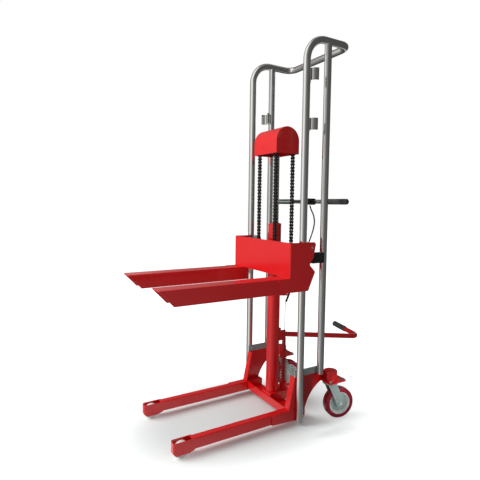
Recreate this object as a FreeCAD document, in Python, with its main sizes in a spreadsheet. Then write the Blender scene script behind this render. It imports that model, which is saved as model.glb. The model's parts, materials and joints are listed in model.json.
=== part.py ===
# Hand pallet stacker: a light, foot-pumped lifting truck with a chrome mast made of bent tube.
# +Z is up, the forks point towards -Y and +X is the operator's left. The origin lies on the
# floor, under the middle of the whole truck. All lengths are millimetres, all angles degrees.
import FreeCAD, Part
import math
import os

import Sketcher

Vector = FreeCAD.Vector
X_AXIS = Vector(1, 0, 0)
Y_AXIS = Vector(0, 1, 0)
Z_AXIS = Vector(0, 0, 1)
SIDES = (("left", 1), ("right", -1))

# Driving sizes: alias, value, meaning
SIZES = [
    ("tube_diameter", "34", "outside diameter of the mast tubes"),
    ("tube_wall", "3", "wall of the mast tubes"),
    ("tube_spacing", "456", "distance between the left and right mast tubes"),
    ("rear_tube_setback", "125", "rear mast tubes behind the front ones"),
    ("rail_height", "1814", "centre of the hoop's top rail above the floor"),
    ("hoop_bend_radius", "105", "bend from the uprights to the top rail"),
    ("hoop_corner_radius", "50", "bend of the top rail at the rear corners"),
    ("hoop_rear_setback", "258", "rear cross of the hoop behind the front tubes"),
    ("front_tube_foot", "15", "lower end of the front tubes above the floor"),
    ("rear_tube_foot", "226", "lower end of the rear tubes above the floor"),
    ("weld_gap", "0.2", "gap between curved faces that are welded or pressed"),
    ("slide_gap", "0.3", "gap between faces that slide or roll"),
    ("running_gap", "0.05", "radial gap of a shaft in its bore"),
    ("overrun", "5", "how far cutting bodies reach past what they cut"),
    ("clip_radius", "30", "outside radius of the guard clips"),
    ("clip_wall", "3", "sheet of the guard clips"),
    ("clip_height", "54", "height of the guard clips"),
    ("clip_low_drop", "392", "middle of the lower left clip below the rail"),
    ("clip_high_drop", "168", "middle of the upper left clip below the rail"),
    ("clip_right_drop", "286", "middle of the right clip below the rail"),
    ("tie_strip_height", "32", "height of the strips that tie front and rear tubes"),
    ("side_plate_thickness", "6", "sheet of the base's side plates and flanges"),
    ("side_plate_top", "228", "top edge of the side plates above the floor"),
    ("side_plate_nose", "145", "front end of the side plates ahead of the tubes"),
    ("flange_width", "30", "width of the slanted front flanges"),
    ("flange_lean", "32", "how much further forward the flanges are at their foot"),
    ("arch_foot", "41", "rear arch of the side plates at the floor, behind the tubes"),
    ("arch_radius", "186", "radius of that arch"),
    ("caster_rib_height", "20", "height of the side plates above the caster plates"),
    ("leg_width", "34", "width of the floor legs"),
    ("leg_height", "48", "height of the floor legs"),
    ("leg_top", "72", "top of the floor legs above the floor"),
    ("leg_wall", "3", "wall of the floor legs"),
    ("leg_reach", "630", "leg tips ahead of the front tubes"),
    ("leg_corner", "4", "outer corner radius of the legs"),
    ("housing_length", "95", "length of the roller housings at the leg tips"),
    ("housing_wall", "3.5", "band of the roller housings"),
    ("housing_step", "2.5", "how far the housings stand out beside the legs"),
    ("housing_drop", "8", "how far the housings reach below the legs"),
    ("housing_corner", "12", "front corner radius of the housings"),
    ("housing_lap", "12", "how far a housing overlaps its leg"),
    ("front_roller_diameter", "66", "nylon rollers at the leg tips"),
    ("front_roller_width", "28", "width of those rollers"),
    ("front_roller_chamfer", "3", "chamfer of those rollers"),
    ("front_axle_diameter", "12", "axle of the front rollers"),
    ("front_roller_gap", "5", "front rollers behind the housing's front wall"),
    ("beam_front", "44", "front face of the cross beam ahead of the tubes"),
    ("beam_depth", "97", "depth of the cross beam"),
    ("beam_height", "40", "height of the cross beam"),
    ("beam_wall", "6", "sheet of the cross beam"),
    ("caster_reach", "33.2", "caster swivel axis beside the side plate that carries it"),
    ("caster_setback", "178", "caster swivel axis behind the front tubes"),
    ("caster_plate_length", "106", "caster plate, front to back"),
    ("caster_plate_width", "78", "caster plate, side to side"),
    ("caster_plate_shift", "14", "middle of the caster plate behind the swivel axis"),
    ("caster_plate_thickness", "8", "caster plate"),
    ("caster_plate_bottom", "187", "underside of the caster plate above the floor"),
    ("caster_plate_corner", "10", "corner radius of the caster plate"),
    ("boss_diameter", "66", "boss on the caster plate"),
    ("boss_height", "46", "height of that boss"),
    ("boss_cap", "5", "closed top of that boss"),
    ("boss_round", "4", "rounded top edge of that boss"),
    ("stem_diameter", "30", "swivel stem inside the boss"),
    ("crown_diameter", "76", "swivel crown of the caster fork"),
    ("crown_thickness", "9", "swivel crown of the caster fork"),
    ("caster_trail", "45", "wheel axle behind the swivel axis"),
    ("caster_turn", "14", "angle by which the casters stand turned"),
    ("fork_leg_thickness", "5", "sheet of the caster fork"),
    ("fork_leg_width", "46", "width of the caster fork at its crown"),
    ("fork_leg_end", "22", "radius of the caster fork round its axle"),
    ("fork_leg_gap", "3", "gap between caster fork and tyre"),
    ("wheel_diameter", "152", "caster wheel"),
    ("wheel_width", "40", "caster wheel"),
    ("tyre_depth", "21", "depth of the tyre tread"),
    ("tyre_round", "9", "rounded shoulder of the tyre"),
    ("rim_depth", "7", "rim of the wheel centre"),
    ("rim_inset", "3", "rim narrower than the tyre, on each side"),
    ("web_thickness", "12", "web of the wheel centre"),
    ("hub_diameter", "40", "hub of the wheel centre"),
    ("wheel_axle_diameter", "12", "axle bolt of the caster wheel"),
    ("axle_head_diameter", "20", "heads of the axle bolts"),
    ("axle_head_height", "4", "heads of the axle bolts"),
    ("cylinder_diameter", "65", "lift cylinder"),
    ("cylinder_bore", "50", "bore of the lift cylinder"),
    ("cylinder_top", "956", "top of the lift cylinder above the floor"),
    ("cylinder_floor", "12", "thickness of the closed foot of the cylinder"),
    ("gland_height", "28", "gland at the top of the cylinder"),
    ("gland_chamfer", "3", "chamfer of the cylinder's top edge"),
    ("ram_diameter", "36", "chrome ram"),
    ("ram_foot", "395", "lower end of the ram above the floor"),
    ("ram_guide_height", "24", "guide ring at the ram's foot"),
    ("head_height", "1362", "pulley axle above the floor"),
    ("head_block_width", "80", "crosshead between the pulleys"),
    ("head_block_depth", "46", "crosshead, front to back"),
    ("head_block_drop", "46", "crosshead below the pulley axle"),
    ("head_socket", "24", "depth of the ram's socket in the crosshead"),
    ("head_axle_diameter", "20", "pulley axle"),
    ("cover_width", "196", "head cover, side to side"),
    ("cover_radius", "68", "vault of the head cover"),
    ("cover_drop", "62", "straight sides of the head cover below the axle"),
    ("cover_wall", "2.5", "sheet of the head cover"),
    ("chain_offset", "71", "chains beside the middle"),
    ("chain_pitch", "15.875", "pitch of the roller chains"),
    ("chain_plate_height", "15", "depth of the chain's plates"),
    ("chain_plate_thickness", "2", "chain plates"),
    ("chain_inner_width", "9.4", "room between the inner plates"),
    ("chain_gap", "0.2", "gap between plates and rollers of the chain"),
    ("chain_roller_diameter", "10.1", "rollers of the chain"),
    ("pulley_flange_thickness", "2.5", "flanges of the chain pulleys"),
    ("pulley_flange_height", "3", "flanges above the chain's pitch line"),
    ("pulley_side_gap", "1", "gap between chain and flange"),
    ("pulley_hub_diameter", "34", "hub of the chain pulleys"),
    ("plate_setback", "89", "front face of the carriage plate ahead of the tubes"),
    ("plate_bottom", "716", "lower edge of the carriage plate above the floor"),
    ("plate_height", "162", "carriage plate"),
    ("carriage_sheet", "5", "sheet of the carriage"),
    ("carriage_gap", "1.5", "gap between carriage cheeks and mast tubes"),
    ("carriage_fold", "8", "outer fold radius of the carriage plate"),
    ("fold_leg", "18", "folded edge of the carriage plate beside the cheeks"),
    ("cheek_nose", "148", "front end of the cheeks' lower part ahead of the tubes"),
    ("cheek_drop", "65", "cheeks below the carriage plate"),
    ("cheek_tail", "58", "rear end of the cheeks behind the tubes"),
    ("cheek_corner", "12", "rounded corners of the cheeks"),
    ("cheek_waist", "23", "notch of the cheeks behind the tubes"),
    ("lobe_round", "8", "rounded lobes and notch of the cheeks"),
    ("heel_depth", "36", "inner walls of the forks behind the carriage plate's front"),
    ("fork_length", "617", "forks ahead of the carriage plate"),
    ("fork_width", "84", "width of a fork"),
    ("fork_depth", "68", "depth of a fork"),
    ("fork_sheet", "4", "sheet of the forks"),
    ("fork_fold", "6", "outer fold radius of the forks"),
    ("fork_bevel", "62", "how far the forks' sides are cut back below the tip"),
    ("bar_height", "24", "cross bar of the carriage"),
    ("bar_rear", "53", "rear face of the cross bar ahead of the tubes"),
    ("anchor_width", "20", "chain anchors"),
    ("anchor_depth", "14", "chain anchors"),
    ("anchor_room", "20", "least room between an anchor's seat and the chain's last pin"),
    ("rear_anchor_height", "812", "seat of the rear chain anchors above the floor"),
    ("guide_roller_bore", "12", "axles of the guide rollers"),
    ("guide_roller_radius", "20", "waist of the grooved guide rollers"),
    ("guide_roller_width", "24", "width of the guide rollers"),
    ("guide_shoulder", "20", "shoulder of the guide roller axles"),
    ("guide_upper_height", "853", "upper guide rollers above the floor"),
    ("guide_lower_height", "688", "lower guide rollers above the floor"),
    ("shoe_bottom", "777", "guide shoes above the floor"),
    ("shoe_height", "49", "height of the guide shoes"),
    ("shoe_front", "46", "front of the guide shoes behind the front tubes"),
    ("shoe_width", "30", "width of the guide shoes"),
    ("pump_width", "84", "pump block, side to side"),
    ("pump_rear", "96", "pump block behind the cylinder's middle"),
    ("pump_height", "46", "pump block"),
    ("pump_corner", "10", "corner radius of the pump block"),
    ("socket_floor", "6", "pump block below the cylinder"),
    ("barrel_diameter", "40", "barrel of the pump plunger"),
    ("barrel_height", "30", "barrel above the pump block"),
    ("plunger_setback", "72", "pump plunger behind the front tubes"),
    ("plunger_diameter", "18", "pump plunger"),
    ("plunger_foot", "66", "lower end of the plunger above the floor"),
    ("plunger_collar", "250", "spring collar of the plunger above the floor"),
    ("collar_diameter", "38", "spring collar of the plunger"),
    ("collar_thickness", "6", "spring collar of the plunger"),
    ("plunger_head_diameter", "20", "domed head of the plunger"),
    ("cap_diameter", "29", "cap above the spring collar"),
    ("cap_height", "38", "cap above the spring collar"),
    ("spring_wire", "4", "wire of the return spring"),
    ("spring_diameter", "34", "outside diameter of the return spring"),
    ("pedal_pivot_setback", "50", "pedal pivot behind the front tubes"),
    ("pedal_pivot_height", "374", "pedal pivot above the floor"),
    ("pedal_pin_diameter", "14", "pedal pivot pin"),
    ("pedal_boss_diameter", "32", "boss of the pedal arm"),
    ("pedal_boss_width", "34", "boss of the pedal arm"),
    ("pedal_tube_diameter", "26", "tube of the pedal arm"),
    ("pedal_reach", "514", "pedal behind the front tubes"),
    ("pedal_side", "105", "bend of the pedal arm beside the middle"),
    ("pedal_drop", "53", "bend of the pedal arm below its pivot"),
    ("pedal_length", "194", "pedal bar, from the bend to its end"),
    ("pedal_rise", "24", "rise of the pedal bar to its end"),
    ("pedal_bend_radius", "34", "bend of the pedal arm"),
    ("sleeve_diameter", "31", "rubber sleeve of the pedal"),
    ("sleeve_length", "90", "rubber sleeve of the pedal"),
    ("ear_thickness", "6", "ears of the pedal bracket"),
    ("ear_height", "52", "ears of the pedal bracket"),
    ("ear_rear", "14", "ears behind the pedal pivot"),
    ("handle_height", "1069", "handle bar above the floor"),
    ("handle_setback", "215", "handle bar behind the front tubes"),
    ("handle_length", "578", "handle bar with its grips"),
    ("handle_diameter", "21", "handle bar"),
    ("grip_length", "140", "grips of the handle bar"),
    ("grip_diameter", "28", "grips of the handle bar"),
    ("grip_end", "4", "closed ends of the grips"),
    ("grip_round", "8", "rounded ends of the grips"),
    ("bracket_thickness", "8", "brackets from the rear tubes to the handle bar"),
    ("bracket_width", "30", "brackets of the handle bar"),
    ("bracket_gap", "22", "brackets inside the grips, along the bar"),
    ("clamp_place", "36", "release clamp beside the middle"),
    ("clamp_width", "24", "release clamp"),
    ("clamp_diameter", "33", "release clamp"),
    ("lever_pivot_front", "30", "lever pivot ahead of the handle bar"),
    ("lever_pin_diameter", "8", "lever pivot pin"),
    ("lever_eye_diameter", "20", "eye of the release lever"),
    ("lever_thickness", "9", "release lever"),
    ("lever_length", "100", "release lever"),
    ("lever_end_radius", "9", "rounded end of the release lever"),
    ("cable_diameter", "7", "release cable"),
    ("ferrule_diameter", "11", "ferrule of the release cable"),
    ("ferrule_length", "52", "ferrule of the release cable"),
    ("wire_diameter", "3", "bare wire below the ferrule"),
    ("cable_stay_diameter", "8", "stay on the cylinder that holds the ferrule"),
]

doc = FreeCAD.newDocument("hand_pallet_stacker")
sheet = doc.addObject("Spreadsheet::Sheet", "sizes")
for row, (alias, value, meaning) in enumerate(SIZES, start=1):
    sheet.set(f"A{row}", meaning)
    sheet.set(f"B{row}", value)
    sheet.setAlias(f"B{row}", alias)
doc.recompute()


class Size:
    """A length together with the sheet formula that gives it."""

    def __init__(self, value, formula):
        self.value = float(value)
        self.formula = formula

    def __add__(self, other):
        other = as_size(other)
        return Size(self.value + other.value, f"({self.formula} + {other.formula})")

    def __sub__(self, other):
        other = as_size(other)
        return Size(self.value - other.value, f"({self.formula} - {other.formula})")

    def __mul__(self, factor):
        return Size(self.value * factor, f"({self.formula} * {factor})")

    def __truediv__(self, factor):
        return Size(self.value / factor, f"({self.formula} / {factor})")

    def __neg__(self):
        return self * -1

    __radd__ = __add__
    __rmul__ = __mul__


def as_size(number):
    """A plain number as a Size; a Size stays as it is."""
    return number if isinstance(number, Size) else Size(number, repr(number))


def get(alias):
    """The Size of one cell of the sheet."""
    return Size(sheet.get(alias), "sizes." + alias)


def leg_of_triangle(hypotenuse, side):
    """The other short side of a right-angled triangle."""
    value = math.sqrt(hypotenuse.value ** 2 - side.value ** 2)
    return Size(value, f"sqrt({hypotenuse.formula}^2 - {side.formula}^2)")


ZERO = as_size(0)
nodes = []


def bind(thing, **sizes):
    """Set properties and tie them to the sheet."""
    for name, size in sizes.items():
        size = as_size(size)
        setattr(thing, name, size.value)
        thing.setExpression(name, size.formula)


def place(thing, x=ZERO, y=ZERO, z=ZERO, rotation=None):
    """Put an object at a point, tied to the sheet, turned by a fixed rotation."""
    point = [as_size(size) for size in (x, y, z)]
    thing.Placement = FreeCAD.Placement(vector(point), rotation or FreeCAD.Rotation())
    for letter, size in zip("xyz", point):
        thing.setExpression(f".Placement.Base.{letter}", size.formula)
    return thing


def vector(point):
    """A point given in Sizes as a vector."""
    return Vector(*[as_size(size).value for size in point])


def node(label, thing):
    """Register a finished sub-part under the name of its file."""
    thing.Label = label
    nodes.append(thing)
    return thing


def feature(name, shape):
    """A shape made in code, for forms that sketches and primitives do not fit."""
    thing = doc.addObject("Part::Feature", name)
    thing.Shape = shape
    return thing


def box(name, x_span, y_span, z_span):
    """A block between two values on each axis."""
    thing = doc.addObject("Part::Box", name)
    bind(thing, Length=x_span[1] - x_span[0], Width=y_span[1] - y_span[0], Height=z_span[1] - z_span[0])
    return place(thing, x_span[0], y_span[0], z_span[0])


TURNS = {"X": FreeCAD.Rotation(Y_AXIS, 90), "Y": FreeCAD.Rotation(X_AXIS, -90), "Z": FreeCAD.Rotation()}


def rod(name, diameter, start, length, axis="Z"):
    """A round bar from a start point along an axis."""
    thing = doc.addObject("Part::Cylinder", name)
    bind(thing, Radius=diameter / 2, Height=length)
    return place(thing, *start, rotation=TURNS[axis])


def cut(name, base, *tools):
    """A piece with other bodies taken away."""
    tool = tools[0] if len(tools) == 1 else fuse(name + "_tools", *tools)
    thing = doc.addObject("Part::Cut", name)
    thing.Base = base
    thing.Tool = tool
    return thing


def fuse(name, *pieces):
    """Pieces welded into one."""
    thing = doc.addObject("Part::MultiFuse", name)
    thing.Shapes = list(pieces)
    thing.Refine = True
    return thing


def overlap(name, first, second):
    """What two bodies share."""
    thing = doc.addObject("Part::MultiCommon", name)
    thing.Shapes = [first, second]
    return thing


def group(name, *pieces):
    """Separate pieces that share one node."""
    thing = doc.addObject("Part::Compound", name)
    thing.Links = list(pieces)
    return thing


def span(side, inner, outer):
    """Low and high X of something between two distances from the middle, on one side."""
    return (inner, outer) if side > 0 else (-outer, -inner)


def new_sketch(body, role):
    """A sketch on one of a body's origin planes."""
    plane = [item for item in body.Origin.OriginFeatures if item.Role == role][0]
    sketch = body.newObject("Sketcher::SketchObject", body.Name + "_sketch")
    sketch.AttachmentSupport = [(plane, "")]
    sketch.MapMode = "FlatFace"
    return sketch


def add_dimension(sketch, kind, where, size):
    """A sketch dimension tied to the sheet."""
    index = sketch.addConstraint(Sketcher.Constraint(kind, *where, size.value))
    sketch.setExpression(f"Constraints[{index}]", size.formula)


def arc_between(start, end, radius, side):
    """The short arc between two points; its centre lies left (1) or right (-1) of the way."""
    chord = end - start
    middle = (start + end) * 0.5
    left = Vector(-chord.y, chord.x, 0).normalize()
    reach = math.sqrt(max(radius ** 2 - (chord.Length / 2) ** 2, 0))
    centre = middle + left * (side * reach)
    angles = [math.atan2(point.y - centre.y, point.x - centre.x) for point in (start, end)]
    if side < 0:
        angles.reverse()
    circle = Part.Circle(centre, Z_AXIS, radius)
    return Part.ArcOfCircle(circle, angles[0], angles[1])


def add_outline(sketch, outline):
    """Draw a closed outline. A corner is (a, b), or (a, b, radius, side) where the edge that
    arrives there is an arc whose centre lies left (1) or right (-1) of the way."""
    corners = [[as_size(size) for size in corner[:3]] for corner in outline]
    points = [Vector(corner[0].value, corner[1].value, 0) for corner in corners]
    ends = []
    for index, corner in enumerate(outline):
        start = points[index - 1]
        if len(corner) == 2:
            line = sketch.addGeometry(Part.LineSegment(start, points[index]))
            ends.append((line, 1, 2))
        else:
            side = corner[3]
            arc = sketch.addGeometry(arc_between(start, points[index], corners[index][2].value, side))
            ends.append((arc, 1, 2) if side > 0 else (arc, 2, 1))
    for index, (edge, first, last) in enumerate(ends):
        following, next_first = ends[(index + 1) % len(ends)][:2]
        sketch.addConstraint(Sketcher.Constraint("Coincident", edge, last, following, next_first))
    for index, (edge, first, last) in enumerate(ends):
        add_dimension(sketch, "DistanceX", (-1, 1, edge, last), corners[index][0])
        add_dimension(sketch, "DistanceY", (-1, 1, edge, last), corners[index][1])
        if len(outline[index]) > 2:
            add_dimension(sketch, "Radius", (edge,), corners[index][2])


def add_hole(sketch, hole):
    """Draw a round hole, given as centre and diameter."""
    a, b, radius = hole[0], hole[1], hole[2] / 2
    circle = sketch.addGeometry(Part.Circle(Vector(a.value, b.value, 0), Z_AXIS, radius.value))
    add_dimension(sketch, "DistanceX", (-1, 1, circle, 3), as_size(a))
    add_dimension(sketch, "DistanceY", (-1, 1, circle, 3), as_size(b))
    add_dimension(sketch, "Radius", (circle,), radius)


def plate(name, role, outline, start, thickness, holes=()):
    """A flat piece: an outline padded from a start value. Sketch axes are Y, Z on the YZ plane,
    X, Y on the XY plane, and X, Z on the XZ plane, where the pad goes towards -Y."""
    body = doc.addObject("PartDesign::Body", name)
    sketch = new_sketch(body, role)
    add_outline(sketch, outline)
    for hole in holes:
        add_hole(sketch, hole)
    pad = body.newObject("PartDesign::Pad", name + "_pad")
    pad.Profile = sketch
    bind(pad, Length=thickness)
    starts = {
        "YZ_Plane": (start, ZERO, ZERO),
        "XZ_Plane": (ZERO, start, ZERO),
        "XY_Plane": (ZERO, ZERO, start),
    }
    place(body, *starts[role])
    doc.recompute()
    return body


def turned(name, axis, outline, x=ZERO, y=ZERO, z=ZERO, rotation=None):
    """A turned piece. The outline is (along, radius) round X, or (radius, along) round Z."""
    body = doc.addObject("PartDesign::Body", name)
    role, sketch_axis = {"X": ("XY_Plane", "H_Axis"), "Z": ("XZ_Plane", "V_Axis")}[axis]
    sketch = new_sketch(body, role)
    add_outline(sketch, outline)
    spin = body.newObject("PartDesign::Revolution", name + "_turn")
    spin.Profile = sketch
    spin.ReferenceAxis = (sketch, [sketch_axis])
    spin.Angle = 360
    place(body, x, y, z, rotation)
    doc.recompute()
    return body


def round_edges(body, radius, wanted):
    """Fillet the edges of a body's last feature that a test picks out."""
    tip = body.Tip
    names = [f"Edge{index}" for index, edge in enumerate(tip.Shape.Edges, start=1) if wanted(edge)]
    fillet = body.newObject("PartDesign::Fillet", body.Name + "_fillet")
    fillet.Base = (tip, names)
    bind(fillet, Radius=radius)
    doc.recompute()
    return body


def runs_along(edge, axis):
    """Whether an edge is straight and parallel to an axis."""
    way = edge.Vertexes[-1].Point - edge.Vertexes[0].Point
    return way.Length > 0 and abs(abs(way.dot(axis)) - way.Length) < 1e-6 * way.Length


def near(first, second):
    """Whether two lengths agree to rounding."""
    return abs(first - second) < 1e-4


def route(points, radii):
    """A wire of straight runs joined by tangent arcs; one radius for each inner point."""
    edges = []
    start = points[0]
    for before, corner, after, radius in zip(points, points[1:], points[2:], radii):
        way_in = (corner - before).normalize()
        way_out = (after - corner).normalize()
        half_turn = way_in.getAngle(way_out) / 2
        reach = radius * math.tan(half_turn)
        tangent_in = corner - way_in * reach
        tangent_out = corner + way_out * reach
        inward = (way_out - way_in).normalize()
        centre = corner + inward * (radius / math.cos(half_turn))
        edges.append(Part.LineSegment(start, tangent_in).toShape())
        edges.append(Part.Arc(tangent_in, centre - inward * radius, tangent_out).toShape())
        start = tangent_out
    edges.append(Part.LineSegment(start, points[-1]).toShape())
    return Part.Wire(edges)


def swept(wire, diameter):
    """A round bar along a wire."""
    first = wire.Edges[0]
    way = first.tangentAt(first.FirstParameter)
    start = first.valueAt(first.FirstParameter)
    circle = Part.Wire(Part.makeCircle(diameter / 2, start, way))
    shell = Part.BRepOffsetAPI.MakePipeShell(wire)
    shell.add(circle)
    shell.build()
    shell.makeSolid()
    return shell.shape()


# Places that many pieces share
front_reach = get("plate_setback") + get("fork_length")
rear_reach = get("pedal_reach") + get("sleeve_diameter") / 2
mast_y = (front_reach - rear_reach) / 2
tube_x = get("tube_spacing") / 2
tube_radius = get("tube_diameter") / 2
rear_y = mast_y + get("rear_tube_setback")
side_outer = tube_x - tube_radius - get("weld_gap")
side_inner = side_outer - get("side_plate_thickness")
leg_inner = side_inner - get("leg_width")
leg_middle = side_inner - get("leg_width") / 2
leg_bottom = get("leg_top") - get("leg_height")
leg_tip = mast_y - get("leg_reach")
beam_front = mast_y - get("beam_front")
beam_rear = beam_front + get("beam_depth")
beam_bottom = get("leg_top") - get("beam_height")
beam_floor = beam_bottom + get("beam_wall")
caster_y = mast_y + get("caster_setback")
cheek_inner = tube_x + tube_radius + get("carriage_gap")
cheek_outer = cheek_inner + get("carriage_sheet")
plate_front = mast_y - get("plate_setback")
plate_rear = plate_front + get("carriage_sheet")
plate_top = get("plate_bottom") + get("plate_height")
overrun = get("overrun")
handle_y = mast_y + get("handle_setback")
plunger_y = mast_y + get("plunger_setback")
pump_top = beam_floor + get("pump_height")


def caster_seat(side):
    """X of the face that carries a caster: the left one of both side plates, which are built alike."""
    return side_outer if side > 0 else -side_inner


def caster_x(side):
    """X of a caster's swivel axis."""
    return caster_seat(side) + get("caster_reach")


def mast_hoop():
    """Both front uprights and the top rail: one tube, bent four times."""
    foot = get("front_tube_foot")
    top = get("rail_height")
    back = mast_y + get("hoop_rear_setback")
    corners = [
        (tube_x, mast_y, foot),
        (tube_x, mast_y, top),
        (tube_x, back, top),
        (-tube_x, back, top),
        (-tube_x, mast_y, top),
        (-tube_x, mast_y, foot),
    ]
    bend = get("hoop_bend_radius").value
    corner = get("hoop_corner_radius").value
    wire = route([vector(point) for point in corners], [bend, corner, corner, bend])
    outside = get("tube_diameter")
    inside = outside - get("tube_wall") * 2
    node("mast_hoop", feature("mast_hoop", swept(wire, outside.value).cut(swept(wire, inside.value))))


def rear_tube(name, side):
    """A rear upright, its upper end coped to the top rail."""
    foot = get("rear_tube_foot")
    start = (tube_x * side, rear_y, foot)
    height = get("rail_height") - foot
    outside = rod(f"rear_tube_{name}_outside", get("tube_diameter"), start, height)
    inside = rod(f"rear_tube_{name}_bore", get("tube_diameter") - get("tube_wall") * 2, start, height)
    rail_start = (tube_x * side, rear_y - get("tube_diameter"), get("rail_height"))
    rail = rod(
        f"rear_tube_{name}_cope",
        get("tube_diameter") + get("weld_gap") * 2,
        rail_start,
        get("tube_diameter") * 2,
        "Y",
    )
    node(f"rear_tube_{name}", cut(f"rear_tube_{name}", outside, inside, rail))


def tie_strips():
    """The zinc strips on the side plates that tie the front and rear tubes."""
    bottom = get("side_plate_top")
    strips = [
        box(
            f"tie_strip_{name}",
            span(side, side_inner, side_outer),
            (mast_y - tube_radius, rear_y + tube_radius),
            (bottom, bottom + get("tie_strip_height")),
        )
        for name, side in SIDES
    ]
    node("tie_strips", group("tie_strips", *strips))


def guard_clip(name, x, y, drop, way):
    """A half-round clip of bent sheet, open to the rear (1) or the front (-1), at a drop below the
    top rail."""
    outside = get("clip_radius")
    inside = outside - get("clip_wall")
    outline = [
        (-outside, ZERO),
        (ZERO, outside * -way, outside, way),
        (outside, ZERO, outside, way),
        (inside, ZERO),
        (ZERO, inside * -way, inside, -way),
        (-inside, ZERO, inside, -way),
    ]
    clip = plate(name, "XY_Plane", outline, ZERO, get("clip_height"))
    return place(clip, x, y, get("rail_height") - drop - get("clip_height") / 2)


def guard_clips():
    """Two clips behind the left front tube and one ahead of the right rear tube."""
    stand_off = tube_radius + get("weld_gap") + get("clip_radius")
    clips = group(
        "guard_clips",
        guard_clip("clip_low", tube_x, mast_y + stand_off, get("clip_low_drop"), 1),
        guard_clip("clip_high", tube_x, mast_y + stand_off, get("clip_high_drop"), 1),
        guard_clip("clip_right", -tube_x, rear_y - stand_off, get("clip_right_drop"), -1),
    )
    node("guard_clips", clips)


def side_plate(name, side):
    """A side of the base: it holds leg, tubes and caster plate, with an arch over the floor
    behind and a slanted flange in front."""
    nose = mast_y - get("side_plate_nose")
    top = get("side_plate_top")
    lean_foot = mast_y - tube_radius - get("flange_lean")
    lean_top = mast_y - tube_radius
    seat = get("caster_plate_bottom")
    rear = caster_y + get("caster_plate_shift") + get("caster_plate_length") / 2
    arch_y = mast_y + get("arch_foot")
    radius = get("arch_radius")
    rise = seat - get("front_tube_foot")
    arch_top = arch_y + radius - leg_of_triangle(radius, rise)
    rib_top = seat + get("caster_plate_thickness") + get("caster_rib_height")
    outline = [
        (nose, leg_bottom),
        (mast_y, get("front_tube_foot")),
        (arch_y, get("front_tube_foot")),
        (arch_top, seat, radius, -1),
        (rear, seat),
        (rear, rib_top),
        (rear_y + tube_radius, top),
        (lean_top, top),
        (lean_foot, get("leg_top")),
        (nose, get("leg_top")),
    ]
    low, high = span(side, side_inner, side_outer)
    web = plate(f"side_web_{name}", "YZ_Plane", outline, low, high - low)
    sheet_thickness = get("side_plate_thickness")
    strip = [
        (lean_foot, get("leg_top")),
        (lean_foot + sheet_thickness, get("leg_top")),
        (lean_top + sheet_thickness, top),
        (lean_top, top),
    ]
    flange_low, flange_high = span(side, side_inner - get("flange_width"), side_inner)
    flange = plate(f"side_flange_{name}", "YZ_Plane", strip, flange_low, flange_high - flange_low)
    node(f"side_plate_{name}", fuse(f"side_plate_{name}", web, flange))


def leg(name, side):
    """A floor leg of rectangular tube with rounded corners."""
    low, high = span(side, leg_inner, side_inner)
    wall = get("leg_wall")
    front = leg_tip + get("housing_length") - get("housing_lap")
    outline = [(low, leg_bottom), (high, leg_bottom), (high, get("leg_top")), (low, get("leg_top"))]
    outside = plate(f"leg_{name}_outside", "XZ_Plane", outline, beam_rear, beam_rear - front)
    round_edges(outside, get("leg_corner"), lambda edge: runs_along(edge, Y_AXIS))
    inside = box(
        f"leg_{name}_bore",
        (low + wall, high - wall),
        (front - overrun, beam_rear + overrun),
        (leg_bottom + wall, get("leg_top") - wall),
    )
    node(f"leg_{name}", cut(f"leg_{name}", outside, inside))


def roller_housing(name, side):
    """A band bent round the leg's tip, open above and below, that holds the front roller."""
    half = get("leg_width") / 2 + get("housing_step")
    wall = get("housing_wall")
    corner = get("housing_corner")
    bend = corner - wall
    back = leg_tip + get("housing_length")
    front = leg_tip
    outline = [
        (-half, back),
        (-half, front + corner),
        (-half + corner, front, corner, 1),
        (half - corner, front),
        (half, front + corner, corner, 1),
        (half, back),
        (half - get("housing_step"), back),
        (half - get("housing_step"), back - get("housing_lap")),
        (half - wall, back - get("housing_lap")),
        (half - wall, front + corner),
        (half - corner, front + wall, bend, -1),
        (-half + corner, front + wall),
        (-half + wall, front + corner, bend, -1),
        (-half + wall, back - get("housing_lap")),
        (-half + get("housing_step"), back - get("housing_lap")),
        (-half + get("housing_step"), back),
    ]
    bottom = leg_bottom - get("housing_drop")
    height = get("leg_top") - bottom
    band = plate(f"housing_band_{name}", "XY_Plane", outline, ZERO, height)
    place(band, leg_middle * side, ZERO, bottom)
    profile = [
        (front, bottom + corner),
        (front + corner, bottom),
        (back - corner * 2, bottom),
        (back, leg_bottom),
        (back, get("leg_top")),
        (front, get("leg_top")),
    ]
    trimmer = plate(f"housing_side_{name}", "YZ_Plane", profile, leg_middle * side - half, half * 2)
    trimmed = overlap(f"housing_trimmed_{name}", band, trimmer)
    hole_start = (leg_middle * side - half - overrun, roller_y, roller_z)
    hole = rod(
        f"housing_hole_{name}",
        get("front_axle_diameter") + get("weld_gap"),
        hole_start,
        (half + overrun) * 2,
        "X",
    )
    node(f"roller_housing_{name}", cut(f"roller_housing_{name}", trimmed, hole))


roller_z = get("front_roller_diameter") / 2
roller_y = leg_tip + get("housing_wall") + get("front_roller_diameter") / 2 + get("front_roller_gap")


def front_roller(name, side):
    """A nylon load roller at a leg's tip."""
    half = get("front_roller_width") / 2
    radius = get("front_roller_diameter") / 2
    chamfer = get("front_roller_chamfer")
    bore = get("front_axle_diameter") / 2 + get("running_gap")
    outline = [
        (-half, bore),
        (half, bore),
        (half, radius - chamfer),
        (half - chamfer, radius),
        (-half + chamfer, radius),
        (-half, radius - chamfer),
    ]
    roller = turned(f"front_roller_{name}", "X", outline, leg_middle * side, roller_y, roller_z)
    node(f"front_roller_{name}", roller)


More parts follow.
